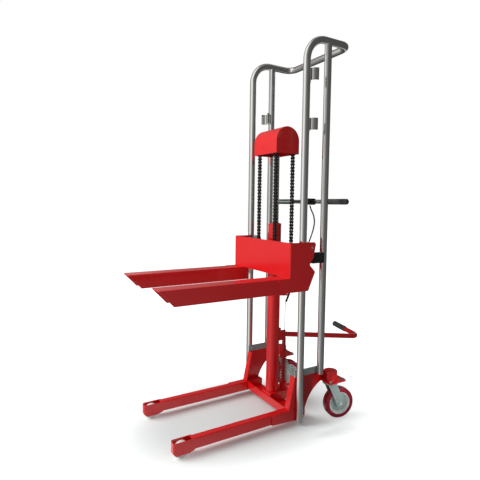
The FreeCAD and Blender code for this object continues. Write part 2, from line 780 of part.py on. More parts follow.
def roller_axles():
    """The pins that carry the two front rollers."""
    half = get("leg_width") / 2 + get("housing_step")
    pins = []
    for name, side in SIDES:
        start = (leg_middle * side - half, roller_y, roller_z)
        pins.append(rod(f"roller_axle_{name}", get("front_axle_diameter"), start, half * 2, "X"))
    node("roller_axles", group("roller_axles", *pins))


def cross_beam():
    """A channel, open above, between the two legs."""
    wall = get("beam_wall")
    outline = [
        (beam_front, beam_bottom),
        (beam_rear, beam_bottom),
        (beam_rear, beam_floor),
        (beam_front + wall, beam_floor),
        (beam_front + wall, get("leg_top")),
        (beam_front, get("leg_top")),
    ]
    node("cross_beam", plate("cross_beam", "YZ_Plane", outline, -leg_inner, leg_inner * 2))


def caster_mount(name, side):
    """A plate with a hollow boss that holds the caster's swivel stem."""
    low = caster_seat(side)
    high = low + get("caster_plate_width")
    front = caster_y + get("caster_plate_shift") - get("caster_plate_length") / 2
    back = front + get("caster_plate_length")
    bottom = get("caster_plate_bottom")
    thickness = get("caster_plate_thickness")
    flat = plate(
        f"caster_plate_{name}",
        "XY_Plane",
        [(low, front), (high, front), (high, back), (low, back)],
        bottom,
        thickness,
    )
    round_edges(
        flat,
        get("caster_plate_corner"),
        lambda edge: runs_along(edge, Z_AXIS) and near(edge.Vertexes[0].X, high.value),
    )
    radius = get("boss_diameter") / 2
    rounding = get("boss_round")
    top = thickness + get("boss_height")
    outline = [
        (ZERO, thickness),
        (radius, thickness),
        (radius, top - rounding),
        (radius - rounding, top, rounding, 1),
        (ZERO, top),
    ]
    boss = turned(f"caster_boss_{name}", "Z", outline, caster_x(side), caster_y, bottom)
    bore_start = (caster_x(side), caster_y, bottom - overrun)
    bore = rod(
        f"caster_bore_{name}",
        get("stem_diameter") + get("running_gap") * 2,
        bore_start,
        top - get("boss_cap") + overrun,
    )
    mount = cut(f"caster_mount_{name}", fuse(f"caster_mount_{name}_blank", flat, boss), bore)
    node(f"caster_mount_{name}", mount)


caster_rotation = FreeCAD.Rotation(Z_AXIS, -get("caster_turn").value)


def at_caster(thing, side, along=ZERO, back=ZERO, height=ZERO, rotation=None):
    """Put a piece on a caster: along its axle and behind its swivel axis, turned with it."""
    angle = math.radians(get("caster_turn").value)
    x = caster_x(side) + along * math.cos(angle) + back * math.sin(angle)
    y = caster_y - along * math.sin(angle) + back * math.cos(angle)
    return place(thing, x, y, height, caster_rotation.multiply(rotation or FreeCAD.Rotation()))


def caster_fork(name, side):
    """The swivelling fork: stem, crown, two slanted legs and the axle bolt."""
    crown_top = get("caster_plate_bottom") - get("slide_gap")
    crown_bottom = crown_top - get("crown_thickness")
    stem_top = get("caster_plate_bottom") + get("caster_plate_thickness") + get("boss_height")
    stem_top = stem_top - get("boss_cap") - get("slide_gap")
    crown_radius = get("crown_diameter") / 2
    stem_radius = get("stem_diameter") / 2
    outline = [
        (ZERO, crown_bottom),
        (crown_radius, crown_bottom),
        (crown_radius, crown_top),
        (stem_radius, crown_top),
        (stem_radius, stem_top),
        (ZERO, stem_top),
    ]
    crown = at_caster(turned(f"caster_crown_{name}", "Z", outline), side)
    half_gap = get("wheel_width") / 2 + get("fork_leg_gap")
    sheet_thickness = get("fork_leg_thickness")
    trail = get("caster_trail")
    end = get("fork_leg_end")
    axle_z = get("wheel_diameter") / 2
    width = get("fork_leg_width") / 2
    profile = [
        (-width, crown_top),
        (-width, crown_bottom),
        (trail - end, axle_z),
        (trail, axle_z - end, end, 1),
        (trail + end, axle_z, end, 1),
        (width, crown_bottom),
        (width, crown_top),
    ]
    hole = (trail, axle_z, get("wheel_axle_diameter") + get("weld_gap"))
    legs = []
    for word, start in (("outer", half_gap), ("inner", -half_gap - sheet_thickness)):
        blade = plate(f"caster_leg_{word}_{name}", "YZ_Plane", profile, ZERO, sheet_thickness, [hole])
        legs.append(at_caster(blade, side, start))
    frame = fuse(f"caster_frame_{name}", crown, *legs)
    reach = half_gap + sheet_thickness
    bolt_radius = get("wheel_axle_diameter") / 2
    head_radius = get("axle_head_diameter") / 2
    tip = reach + get("axle_head_height")
    bolt_outline = [
        (-tip, ZERO),
        (tip, ZERO),
        (tip, head_radius),
        (reach, head_radius),
        (reach, bolt_radius),
        (-reach, bolt_radius),
        (-reach, head_radius),
        (-tip, head_radius),
    ]
    bolt = at_caster(turned(f"caster_axle_{name}", "X", bolt_outline), side, ZERO, trail, axle_z)
    node(f"caster_fork_{name}", group(f"caster_fork_{name}", frame, bolt))


def caster_wheel(name, side):
    """The wheel centre with hub, web and rim, and the tyre on it."""
    half = get("wheel_width") / 2
    radius = get("wheel_diameter") / 2
    rim_radius = radius - get("tyre_depth")
    rim_half = half - get("rim_inset")
    rim_inner = rim_radius - get("rim_depth")
    web = get("web_thickness") / 2
    hub = get("hub_diameter") / 2
    bore = get("wheel_axle_diameter") / 2 + get("running_gap")
    hub_half = half + get("fork_leg_gap") - get("slide_gap")
    centre_outline = [
        (-hub_half, bore),
        (hub_half, bore),
        (hub_half, hub),
        (web, hub),
        (web, rim_inner),
        (rim_half, rim_inner),
        (rim_half, rim_radius),
        (-rim_half, rim_radius),
        (-rim_half, rim_inner),
        (-web, rim_inner),
        (-web, hub),
        (-hub_half, hub),
    ]
    shoulder = get("tyre_round")
    tyre_outline = [
        (-half, rim_radius),
        (half, rim_radius),
        (half, radius - shoulder),
        (half - shoulder, radius, shoulder, 1),
        (-half + shoulder, radius),
        (-half, radius - shoulder, shoulder, 1),
    ]
    for label, outline in (("caster_hub", centre_outline), ("caster_tyre", tyre_outline)):
        piece = turned(f"{label}_{name}", "X", outline)
        node(f"{label}_{name}", at_caster(piece, side, ZERO, get("caster_trail"), radius))


def lift_cylinder():
    """The lift cylinder: closed foot, bore and a gland round the ram."""
    radius = get("cylinder_diameter") / 2
    bore = get("cylinder_bore") / 2
    ram = get("ram_diameter") / 2 + get("running_gap")
    foot = beam_floor + get("socket_floor")
    top = get("cylinder_top")
    chamfer = get("gland_chamfer")
    outline = [
        (ZERO, foot),
        (radius, foot),
        (radius, top - chamfer),
        (radius - chamfer, top),
        (ram, top),
        (ram, top - get("gland_height")),
        (bore, top - get("gland_height")),
        (bore, foot + get("cylinder_floor")),
        (ZERO, foot + get("cylinder_floor")),
    ]
    node("lift_cylinder", turned("lift_cylinder", "Z", outline, ZERO, mast_y))


def pump_block():
    """The cast block on the cross beam: socket of the cylinder and barrel of the plunger."""
    half = get("pump_width") / 2
    front = beam_front + get("beam_wall")
    back = mast_y + get("pump_rear")
    outline = [(-half, front), (half, front), (half, back), (-half, back)]
    block = plate("pump_body", "XY_Plane", outline, beam_floor, get("pump_height"))
    round_edges(block, get("pump_corner"), lambda edge: runs_along(edge, Z_AXIS))
    socket_start = (ZERO, mast_y, beam_floor + get("socket_floor"))
    socket_width = get("cylinder_diameter") + get("weld_gap") * 2
    socket = rod("pump_socket", socket_width, socket_start, get("pump_height"))
    barrel = rod("pump_barrel", get("barrel_diameter"), (ZERO, plunger_y, pump_top), get("barrel_height"))
    trimmed = cut("pump_trimmed", fuse("pump_blank", block, barrel), socket)
    bore_width = get("plunger_diameter") + get("running_gap") * 2
    bore_start = (ZERO, plunger_y, beam_floor + get("socket_floor"))
    bore = rod("pump_bore", bore_width, bore_start, get("pump_height") + get("barrel_height"))
    node("pump_block", cut("pump_block", trimmed, bore))


def plunger():
    """The pump plunger with its spring collar and domed head under the pedal arm."""
    radius = get("plunger_diameter") / 2
    collar = get("collar_diameter") / 2
    head = get("plunger_head_diameter") / 2
    low = get("plunger_foot")
    cap = get("cap_diameter") / 2
    collar_z = get("plunger_collar")
    cap_top = collar_z + get("cap_height")
    top = head_centre_z()
    outline = [
        (ZERO, low),
        (radius, low),
        (radius, collar_z),
        (collar, collar_z),
        (collar, collar_z + get("collar_thickness")),
        (cap, collar_z + get("collar_thickness")),
        (cap, cap_top),
        (head, cap_top),
        (head, top),
        (ZERO, top + head, head, 1),
    ]
    node("plunger", turned("plunger", "Z", outline, ZERO, plunger_y))


def pedal_points():
    """Pivot, bend and end of the pedal arm's centre line."""
    pivot = (ZERO, mast_y + get("pedal_pivot_setback"), get("pedal_pivot_height"))
    bend_z = get("pedal_pivot_height") - get("pedal_drop")
    bend = (get("pedal_side"), mast_y + get("pedal_reach"), bend_z)
    end_x = get("pedal_side") - get("pedal_length")
    end = (end_x, mast_y + get("pedal_reach"), bend_z + get("pedal_rise"))
    return [vector(point) for point in (pivot, bend, end)]


def head_centre_z():
    """Centre of the plunger's dome. It lies a sliding gap from the pedal arm: at a depth below the
    pivot where its distance to the arm's centre line, a quadratic in that depth, is the reach."""
    pivot, bend, end = pedal_points()
    way = (bend - pivot).normalize()
    ahead = (get("plunger_setback") - get("pedal_pivot_setback")).value
    reach = (get("pedal_tube_diameter") / 2 + get("plunger_head_diameter") / 2 + get("slide_gap")).value
    square = way.x ** 2 + way.y ** 2
    slant = ahead * way.z * way.y
    rest = ahead ** 2 * (way.z ** 2 + way.x ** 2) - reach ** 2
    return get("pedal_pivot_height") - (math.sqrt(slant ** 2 - square * rest) - slant) / square


def pedal():
    """The pedal arm: pivot boss, bent tube, and the rubber sleeve for the foot."""
    pivot, bend, end = pedal_points()
    path = route([pivot, bend, end], [get("pedal_bend_radius").value])
    arm = feature("pedal_tube", swept(path, get("pedal_tube_diameter").value))
    half = get("pedal_boss_width") / 2
    boss_start = (-half, mast_y + get("pedal_pivot_setback"), get("pedal_pivot_height"))
    boss = rod("pedal_boss", get("pedal_boss_diameter"), boss_start, half * 2, "X")
    bore_start = (-half - overrun, mast_y + get("pedal_pivot_setback"), get("pedal_pivot_height"))
    bore_width = get("pedal_pin_diameter") + get("running_gap") * 2
    bore = rod("pedal_bore", bore_width, bore_start, (half + overrun) * 2, "X")
    node("pedal_arm", cut("pedal_arm", fuse("pedal_blank", boss, arm), bore))
    way = (end - bend).normalize()
    root = end - way * get("sleeve_length").value
    cap = end + way * get("grip_end").value
    sleeve = swept(Part.Wire(Part.LineSegment(root, cap).toShape()), get("sleeve_diameter").value)
    inside = get("pedal_tube_diameter").value + get("weld_gap").value
    core = swept(Part.Wire(Part.LineSegment(root, end).toShape()), inside)
    node("pedal_sleeve", feature("pedal_sleeve", sleeve.cut(core)))


def pedal_bracket():
    """Two ears welded to the back of the cylinder, with the pivot pin of the pedal."""
    inner = get("pedal_boss_width") / 2 + get("slide_gap")
    outer = inner + get("ear_thickness")
    pivot_y = mast_y + get("pedal_pivot_setback")
    half = get("ear_height") / 2
    middle = get("pedal_pivot_height")
    ears = []
    for name, side in SIDES:
        low, high = span(side, inner, outer)
        depth = (mast_y, pivot_y + get("ear_rear"))
        blank = box(f"ear_{name}_blank", (low, high), depth, (middle - half, middle + half))
        barrel_start = (ZERO, mast_y, middle - half - overrun)
        barrel_width = get("cylinder_diameter") + get("weld_gap") * 2
        barrel = rod(f"ear_{name}_cope", barrel_width, barrel_start, (half + overrun) * 2)
        hole_start = (low - overrun, pivot_y, middle)
        hole_width = get("pedal_pin_diameter") + get("weld_gap")
        hole = rod(f"ear_{name}_hole", hole_width, hole_start, high - low + overrun * 2, "X")
        ears.append(cut(f"ear_{name}", blank, barrel, hole))
    pin_start = (-outer - get("ear_thickness") / 2, pivot_y, middle)
    pin = rod("pedal_pin", get("pedal_pin_diameter"), pin_start, outer * 2 + get("ear_thickness"), "X")
    node("pedal_bracket", group("pedal_bracket", *ears, pin))


def arc_from(start, way, end):
    """The arc that leaves a point in a direction and ends at another point."""
    chord = end - start
    across = (chord - way * chord.dot(way)).normalize()
    radius = chord.Length ** 2 / (2 * chord.dot(across))
    centre = start + across * radius
    middle = centre + ((start + end) * 0.5 - centre).normalize() * radius
    return Part.Arc(start, middle, end).toShape()


def biarc(start, start_way, end, end_way):
    """Two tangent arcs that join two points with given directions."""
    chord = end - start
    ways = start_way + end_way
    slack = 2 * (1 - start_way.dot(end_way))
    reach = (-chord.dot(ways) + math.sqrt(chord.dot(ways) ** 2 + slack * chord.dot(chord))) / slack
    middle = (start + end + (start_way - end_way) * reach) * 0.5
    first = arc_from(start, start_way, middle)
    second = arc_from(end, end_way * -1, middle)
    second.reverse()
    return [first, second]


SPRING_TURNS = 9
QUARTERS = 4


def pump_spring():
    """The return spring: one wire wound on the plunger, from the barrel to the collar."""
    wire_width = get("spring_wire").value
    radius = (get("spring_diameter").value - wire_width) / 2
    bottom = (pump_top + get("barrel_height") + get("slide_gap")).value + wire_width / 2
    top = (get("plunger_collar") - get("slide_gap")).value - wire_width / 2
    pitch = (top - bottom) / SPRING_TURNS
    slope = pitch / (2 * math.pi)
    length = math.hypot(radius, slope)

    def point(angle):
        y = plunger_y.value + radius * math.sin(angle)
        return Vector(radius * math.cos(angle), y, bottom + slope * angle)

    def way(angle):
        return Vector(-radius * math.sin(angle), radius * math.cos(angle), slope) * (1 / length)

    step = 2 * math.pi / QUARTERS
    angles = [step * index for index in range(SPRING_TURNS * QUARTERS + 1)]
    edges = []
    for first, second in zip(angles, angles[1:]):
        edges += biarc(point(first), way(first), point(second), way(second))
    path = Part.Wire(edges)
    spring = feature("pump_spring", swept(path, wire_width))
    probes = [point(step * index / QUARTERS) for index in range(SPRING_TURNS * QUARTERS * QUARTERS + 1)]
    half_turn = QUARTERS * QUARTERS // 2
    gaps = []
    for index, probe in enumerate(probes):
        gaps += [probe.distanceToPoint(other) for other in probes[index + half_turn:]]
    print(f"pump_spring least gap to itself {min(gaps) - wire_width:.2f} mm")
    print(f"pump_spring volume over section times length {volume_share(spring.Shape, path, wire_width):.4f}")
    node("pump_spring", spring)


def volume_share(shape, path, diameter):
    """Volume of a swept bar as a share of its section times its length."""
    return shape.Volume / (math.pi * (diameter / 2) ** 2 * path.Length)


# Chain: the half wrap on a pulley is a whole number of links, which gives the pitch radius.
WRAP_LINKS = 10
wrap_step = 180 / WRAP_LINKS
half_step = math.radians(wrap_step / 2)
pitch_radius = get("chain_pitch") / (2 * math.sin(half_step))
chain_width = get("chain_inner_width") + (get("chain_plate_thickness") + get("chain_gap")) * 4
front_run_y = mast_y - pitch_radius
rear_run_y = mast_y + pitch_radius
carriage_anchor_z = get("plate_bottom") + get("bar_height")
cylinder_anchor_z = get("rear_anchor_height")


def run_links(lowest):
    """Whole links between the pulley axle and an anchor's top."""
    room = get("head_height") - lowest - get("anchor_room")
    return int(room.value // get("chain_pitch").value)


def chain_roller(pin, way, across):
    """One chain roller, six-sided, across the chain at a pin."""
    half = get("chain_inner_width").value / 2 - get("chain_gap").value
    radius = get("chain_roller_diameter").value / 2
    corners = []
    for corner in range(6):
        angle = math.radians(60 * corner)
        offset = way * math.cos(angle) + way.cross(across) * math.sin(angle)
        corners.append(pin - across * half + offset * radius)
    return Part.Face(Part.makePolygon(corners + corners[:1])).extrude(across * (2 * half))


def link_plates(first, second, across, outer):
    """The two plates of one link, with pointed ends round its pins."""
    inside = get("chain_inner_width").value / 2
    thickness = get("chain_plate_thickness").value
    if outer:
        inside += thickness + get("chain_gap").value
    half = get("chain_plate_height").value / 2
    way = (second - first).normalize()
    side = way.cross(across)
    outline = [
        first - way * half,
        first + side * half,
        second + side * half,
        second + way * half,
        second - side * half,
        first - side * half,
    ]
    plates = []
    for start in (inside, -inside - thickness):
        corners = [point + across * start for point in outline]
        plates.append(Part.Face(Part.makePolygon(corners + corners[:1])).extrude(across * thickness))
    return plates


def chain(pins, first_outer, roller_pins):
    """Links along a row of pins, outer and inner plates by turns, and rollers at some of the pins."""
    pieces = []
    for index, (first, second) in enumerate(zip(pins, pins[1:])):
        pieces += link_plates(first, second, X_AXIS, first_outer == (index % 2 == 0))
    for pin in roller_pins:
        pieces.append(chain_roller(pin, Z_AXIS, X_AXIS))
    return pieces


def chains():
    """Front and rear runs and the wraps over the pulleys, each for both sides."""
    axle = Vector(0, mast_y.value, get("head_height").value)
    pitch = get("chain_pitch").value
    radius = pitch_radius.value
    front, rear, wraps = [], [], []
    for name, side in SIDES:
        middle = axle + X_AXIS * (side * get("chain_offset").value)
        front_pins = [
            middle - Y_AXIS * radius - Z_AXIS * (pitch * index)
            for index in range(run_links(carriage_anchor_z) + 1)
        ]
        rear_pins = [
            middle + Y_AXIS * radius - Z_AXIS * (pitch * index)
            for index in range(run_links(cylinder_anchor_z) + 1)
        ]
        wrap_pins = []
        for index in range(WRAP_LINKS + 1):
            angle = math.radians(180 - wrap_step * index)
            wrap_pins.append(middle + (Y_AXIS * math.cos(angle) + Z_AXIS * math.sin(angle)) * radius)
        front += chain(front_pins, True, front_pins[1:-1])
        rear += chain(rear_pins, False, rear_pins[1:-1])
        wraps += chain(wrap_pins, False, wrap_pins)
    for label, pieces in (("front_chains", front), ("rear_chains", rear), ("chain_wraps", wraps)):
        node(label, feature(label, Part.makeCompound(pieces)))


def pulley(name, side):
    """A plain chain pulley with two flanges and a hub."""
    half = chain_width / 2 + get("pulley_side_gap")
    flange = half + get("pulley_flange_thickness")
    lowest = pitch_radius * math.cos(half_step) - get("chain_plate_height") / 2 - get("slide_gap")
    rim = pitch_radius + get("pulley_flange_height")
    hub = get("pulley_hub_diameter") / 2
    bore = get("head_axle_diameter") / 2 + get("running_gap")
    inner = get("head_block_width") / 2 + get("slide_gap") - get("chain_offset")
    outer = get("cover_width") / 2 - get("cover_wall") - get("slide_gap") - get("chain_offset")
    if side < 0:
        inner, outer = -outer, -inner
    outline = [
        (inner, bore),
        (outer, bore),
        (outer, hub),
        (flange, hub),
        (flange, rim),
        (half, rim),
        (half, lowest),
        (-half, lowest),
        (-half, rim),
        (-flange, rim),
        (-flange, hub),
        (inner, hub),
    ]
    wheel = turned(f"pulley_{name}", "X", outline, get("chain_offset") * side, mast_y, get("head_height"))
    node(f"pulley_{name}", wheel)


def ram():
    """The chrome ram with its guide ring inside the cylinder."""
    radius = get("ram_diameter") / 2
    guide = get("cylinder_bore") / 2 - get("running_gap")
    foot = get("ram_foot")
    top = get("head_height") - get("head_block_drop") + get("head_socket")
    outline = [
        (ZERO, foot),
        (guide, foot),
        (guide, foot + get("ram_guide_height")),
        (radius, foot + get("ram_guide_height")),
        (radius, top),
        (ZERO, top),
    ]
    node("ram_rod", turned("ram_rod", "Z", outline, ZERO, mast_y))


def head():
    """Crosshead, pulley axle and the vaulted sheet cover on top of the ram."""
    middle = get("head_height")
    half = get("head_block_width") / 2
    depth = get("head_block_depth") / 2
    bottom = middle - get("head_block_drop")
    vault = get("cover_radius")
    wall = get("cover_wall")
    inside = vault - wall
    top = middle + leg_of_triangle(inside - get("slide_gap"), depth)
    blank = box("head_blank", (-half, half), (mast_y - depth, mast_y + depth), (bottom, top))
    socket_width = get("ram_diameter") + get("weld_gap")
    socket = rod("head_socket_cut", socket_width, (ZERO, mast_y, bottom), get("head_socket"))
    end = get("cover_width") / 2 - wall - get("slide_gap")
    axle_width = get("head_axle_diameter")
    hole_start = (-half - overrun, mast_y, middle)
    hole = rod("head_hole", axle_width + get("weld_gap"), hole_start, (half + overrun) * 2, "X")
    node("head_block", cut("head_block", blank, socket, hole))
    node("head_axle", rod("head_axle", axle_width, (-end, mast_y, middle), end * 2, "X"))
    foot = middle - get("cover_drop")
    outside_outline = [
        (mast_y - vault, foot),
        (mast_y + vault, foot),
        (mast_y + vault, middle),
        (mast_y, middle + vault, vault, 1),
        (mast_y - vault, middle, vault, 1),
    ]
    inside_outline = [
        (mast_y - inside, foot - overrun),
        (mast_y + inside, foot - overrun),
        (mast_y + inside, middle),
        (mast_y, middle + inside, inside, 1),
        (mast_y - inside, middle, inside, 1),
    ]
    width = get("cover_width")
    outside = plate("cover_outside", "YZ_Plane", outside_outline, -width / 2, width)
    room = plate("cover_room", "YZ_Plane", inside_outline, -width / 2 + wall, width - wall * 2)
    node("head_cover", cut("head_cover", outside, room))


def carriage_frame():
    """The folded front plate with both cheeks and the heels behind the forks' inner walls."""
    fold = get("carriage_fold")
    bend = fold - get("carriage_sheet")
    bottom = get("plate_bottom")
    rear = plate_front + get("fold_leg")
    outline = [
        (-cheek_outer, rear),
        (-cheek_outer, plate_front + fold),
        (-cheek_outer + fold, plate_front, fold, 1),
        (cheek_outer - fold, plate_front),
        (cheek_outer, plate_front + fold, fold, 1),
        (cheek_outer, rear),
        (cheek_inner, rear),
        (cheek_inner, plate_front + fold),
        (cheek_inner - bend, plate_rear, bend, -1),
        (-cheek_inner + bend, plate_rear),
        (-cheek_inner, plate_front + fold, bend, -1),
        (-cheek_inner, rear),
    ]
    pieces = [plate("carriage_fold_sheet", "XY_Plane", outline, bottom, get("plate_height"))]
    tail = mast_y + get("cheek_tail")
    corner = get("cheek_corner")
    low_z = bottom - get("cheek_drop")
    height = get("plate_height")
    notch_z = bottom + height * notch_share
    profile = [
        (plate_front + fold, bottom),
        (mast_y - get("cheek_nose"), bottom),
        (mast_y - get("cheek_nose"), low_z),
        (mast_y + get("cheek_waist") - corner, low_z),
        (mast_y + get("cheek_waist"), low_z + corner, corner, 1),
        (tail, bottom + height * lower_lobe_share),
        (mast_y + get("cheek_waist"), notch_z),
        (tail - corner, bottom + height * upper_lobe_share),
        (tail, plate_top - corner),
        (tail - corner, plate_top, corner, 1),
        (plate_front + fold, plate_top),
    ]
    axle_hole = (
        mast_y + guide_stand_off,
        get("guide_upper_height"),
        get("guide_roller_bore") + get("weld_gap"),
    )
    for name, side in SIDES:
        low, high = span(side, cheek_inner, cheek_outer)
        cheek = plate(f"cheek_{name}", "YZ_Plane", profile, low, high - low, [axle_hole])
        round_edges(
            cheek,
            get("lobe_round"),
            lambda edge: runs_along(edge, X_AXIS)
            and edge.Vertexes[0].Y > mast_y.value
            and bottom.value < edge.Vertexes[0].Z < (plate_top - corner).value - 1e-3,
        )
        pieces.append(cheek)
        wall = cheek_inner - get("fork_width")
        heel = box(
            f"fork_heel_{name}",
            span(side, wall, wall + get("fork_sheet")),
            (plate_front, plate_front + get("heel_depth")),
            (bottom - get("fork_depth"), bottom),
        )
        pieces.append(heel)
    node("carriage_frame", fuse("carriage_frame", *pieces))


# Heights of the cheeks' rear outline as shares of the carriage plate's height
lower_lobe_share = 0.14
notch_share = 0.35
upper_lobe_share = 0.56
guide_stand_off = tube_radius + get("slide_gap") + get("guide_roller_radius")


def fork(name, side):
    """A fork: a folded channel, open below, with a slanted tip."""
    low, high = span(side, cheek_inner - get("fork_width"), cheek_inner)
    top = get("plate_bottom")
    bottom = top - get("fork_depth")
    tip = plate_front - get("fork_length")
    sheet_thickness = get("fork_sheet")
    outline = [
        (plate_front, top),
        (tip, top),
        (tip, top - sheet_thickness),
        (tip + get("fork_bevel"), bottom),
        (plate_front, bottom),
    ]
    outside = plate(f"fork_{name}_outside", "YZ_Plane", outline, low, high - low)
    round_edges(
        outside,
        get("fork_fold"),
        lambda edge: runs_along(edge, Y_AXIS) and near(edge.Vertexes[0].Z, top.value),
    )
    channel = box(
        f"fork_{name}_channel",
        (low + sheet_thickness, high - sheet_thickness),
        (tip - overrun, plate_front + overrun),
        (bottom - overrun, top - sheet_thickness),
    )
    node(f"fork_{name}", cut(f"fork_{name}", outside, channel))


def anchor(name, x, y, bottom, links):
    """A chain anchor that reaches from its seat to just below the chain's last pin."""
    half = get("anchor_width") / 2
    depth = get("anchor_depth") / 2
    last_pin = get("head_height") - get("chain_pitch") * links
    top = last_pin - get("chain_plate_height") / 2 - get("chain_gap")
    return box(name, (x - half, x + half), (y - depth, y + depth), (bottom, top))


def cross_bar():
    """The bar behind the carriage plate, with an anchor for each chain."""
    bottom = get("plate_bottom")
    half = cheek_inner - get("carriage_fold") + get("carriage_sheet")
    bar = box("bar_blank", (-half, half), (plate_rear, mast_y - get("bar_rear")), (bottom, carriage_anchor_z))
    links = run_links(carriage_anchor_z)
    anchors = [
        anchor(f"front_anchor_{name}", get("chain_offset") * side, front_run_y, bottom, links)
        for name, side in SIDES
    ]
    node("cross_bar", fuse("cross_bar", bar, *anchors))


def rear_anchor():
    """The bracket on the back of the cylinder that holds the chains' fixed ends."""
    half = get("chain_offset") + get("anchor_width") / 2
    thickness = get("anchor_depth")
    bottom = cylinder_anchor_z - thickness
    depth = get("anchor_depth") / 2
    blank = box(
        "rear_anchor_blank",
        (-half, half),
        (mast_y + get("cylinder_diameter") / 4, rear_run_y + depth),
        (bottom, cylinder_anchor_z),
    )
    cope_width = get("cylinder_diameter") + get("weld_gap") * 2
    cope = rod("rear_anchor_cope", cope_width, (ZERO, mast_y, bottom - overrun), thickness + overrun * 2)
    strap = cut("rear_anchor_strap", blank, cope)
    links = run_links(cylinder_anchor_z)
    anchors = [
        anchor(f"rear_lug_{name}", get("chain_offset") * side, rear_run_y, cylinder_anchor_z, links)
        for name, side in SIDES
    ]
    node("rear_anchor", fuse("rear_anchor", strap, *anchors))


GUIDES = (("upper", 1, "guide_upper_height"), ("lower", -1, "guide_lower_height"))


def guide_rollers():
    """Grooved rollers: the upper pair runs behind the front tubes, the lower pair ahead of them."""
    half = get("guide_roller_width") / 2
    waist = get("guide_roller_radius")
    groove = tube_radius + get("slide_gap")
    rim = waist + groove - leg_of_triangle(groove, half)
    bore = get("guide_roller_bore") / 2 + get("running_gap")
    outline = [
        (-half, bore),
        (half, bore),
        (half, rim),
        (ZERO, waist, groove, -1),
        (-half, rim, groove, -1),
    ]
    for level, where, height in GUIDES:
        for name, side in SIDES:
            label = f"guide_roller_{level}_{name}"
            y = mast_y + guide_stand_off * where
            node(label, turned(label, "X", outline, tube_x * side, y, get(height)))


def guide_axles():
    """Shouldered stub axles of the guide rollers, on the inner faces of the cheeks."""
    half = get("guide_roller_width") / 2
    pin = get("guide_roller_bore") / 2
    shoulder = get("guide_shoulder") / 2
    gap = get("slide_gap")
    seat = get("carriage_gap") + tube_radius
    cap = half + gap + get("axle_head_height") / 2
    tail = seat + get("carriage_sheet")
    body = [
        (seat, shoulder),
        (half + gap, shoulder),
        (half + gap, pin),
        (-half - gap, pin),
        (-half - gap, shoulder),
        (-cap, shoulder),
        (-cap, ZERO),
    ]
    ends = {"upper": [(tail, ZERO), (tail, pin), (seat, pin)], "lower": [(seat, ZERO)]}
    stubs = []
    for level, where, height in GUIDES:
        outline = ends[level] + body
        for name, side in SIDES:
            turn = FreeCAD.Rotation(Z_AXIS, 0 if side > 0 else 180)
            y = mast_y + guide_stand_off * where
            stub = turned(f"guide_axle_{level}_{name}", "X", outline, tube_x * side, y, get(height), turn)
            stubs.append(stub)
    node("guide_axles", group("guide_axles", *stubs))


def guide_shoes():
    """Black nylon blocks on the cheeks, hollowed to slide on the front of the rear tubes."""
    bottom = get("shoe_bottom")
    top = bottom + get("shoe_height")
    shoes = []
    for name, side in SIDES:
        low, high = span(side, cheek_inner - get("shoe_width"), cheek_inner)
        depth = (mast_y + get("shoe_front"), rear_y - tube_radius / 2)
        blank = box(f"shoe_{name}_blank", (low, high), depth, (bottom, top))
        groove_start = (tube_x * side, rear_y, bottom - overrun)
        groove_width = get("tube_diameter") + get("slide_gap") * 2
        groove = rod(f"shoe_{name}_groove", groove_width, groove_start, get("shoe_height") + overrun * 2)
        shoes.append(cut(f"shoe_{name}", blank, groove))
    node("guide_shoes", group("guide_shoes", *shoes))


def handle():
    """The handle bar, its two brackets on the rear tubes, and the grips."""
    half = get("handle_length") / 2 - get("grip_end")
    z = get("handle_height")
    width = get("handle_diameter")
    node("handle_bar", rod("handle_bar", width, (-half, handle_y, z), half * 2, "X"))
    half_strap = get("bracket_width") / 2
    grip_root = get("handle_length") / 2 - get("grip_length")
    strap_x = grip_root - get("bracket_gap") - half_strap
    thickness = get("bracket_thickness")
    brackets = []
    for name, side in SIDES:
        outline = [
            ((tube_x - half_strap) * side, rear_y),
            ((tube_x + half_strap) * side, rear_y),
            ((strap_x + half_strap) * side, handle_y),
            ((strap_x - half_strap) * side, handle_y),
        ]
        strap = plate(f"handle_strap_{name}", "XY_Plane", outline, z - thickness / 2, thickness)
        tube_start = (tube_x * side, rear_y, z - thickness)
        tube_width = get("tube_diameter") + get("weld_gap") * 2
        tube = rod(f"handle_strap_{name}_tube", tube_width, tube_start, thickness * 2)
        bar_start = (-half, handle_y, z)
        bar = rod(f"handle_strap_{name}_bar", width + get("weld_gap") * 2, bar_start, half * 2, "X")
        brackets.append(cut(f"handle_bracket_{name}", strap, tube, bar))
    node("handle_brackets", group("handle_brackets", *brackets))
    bore = width / 2 + get("weld_gap") / 2
    radius = get("grip_diameter") / 2
    length = get("grip_length")
    rounding = get("grip_round")
    tip = get("handle_length") / 2
    grip_outline = [
        (tip - length, bore),
        (tip - get("grip_end"), bore),
        (tip - get("grip_end"), ZERO),
        (tip, ZERO),
        (tip, radius - rounding),
        (tip - rounding, radius, rounding, 1),
        (tip - length, radius),
    ]
    for name, side in SIDES:
        turn = FreeCAD.Rotation(Z_AXIS, 0 if side > 0 else 180)
        node(f"grip_{name}", turned(f"grip_{name}", "X", grip_outline, ZERO, handle_y, z, turn))


lever_pivot_y = handle_y - get("lever_pivot_front")


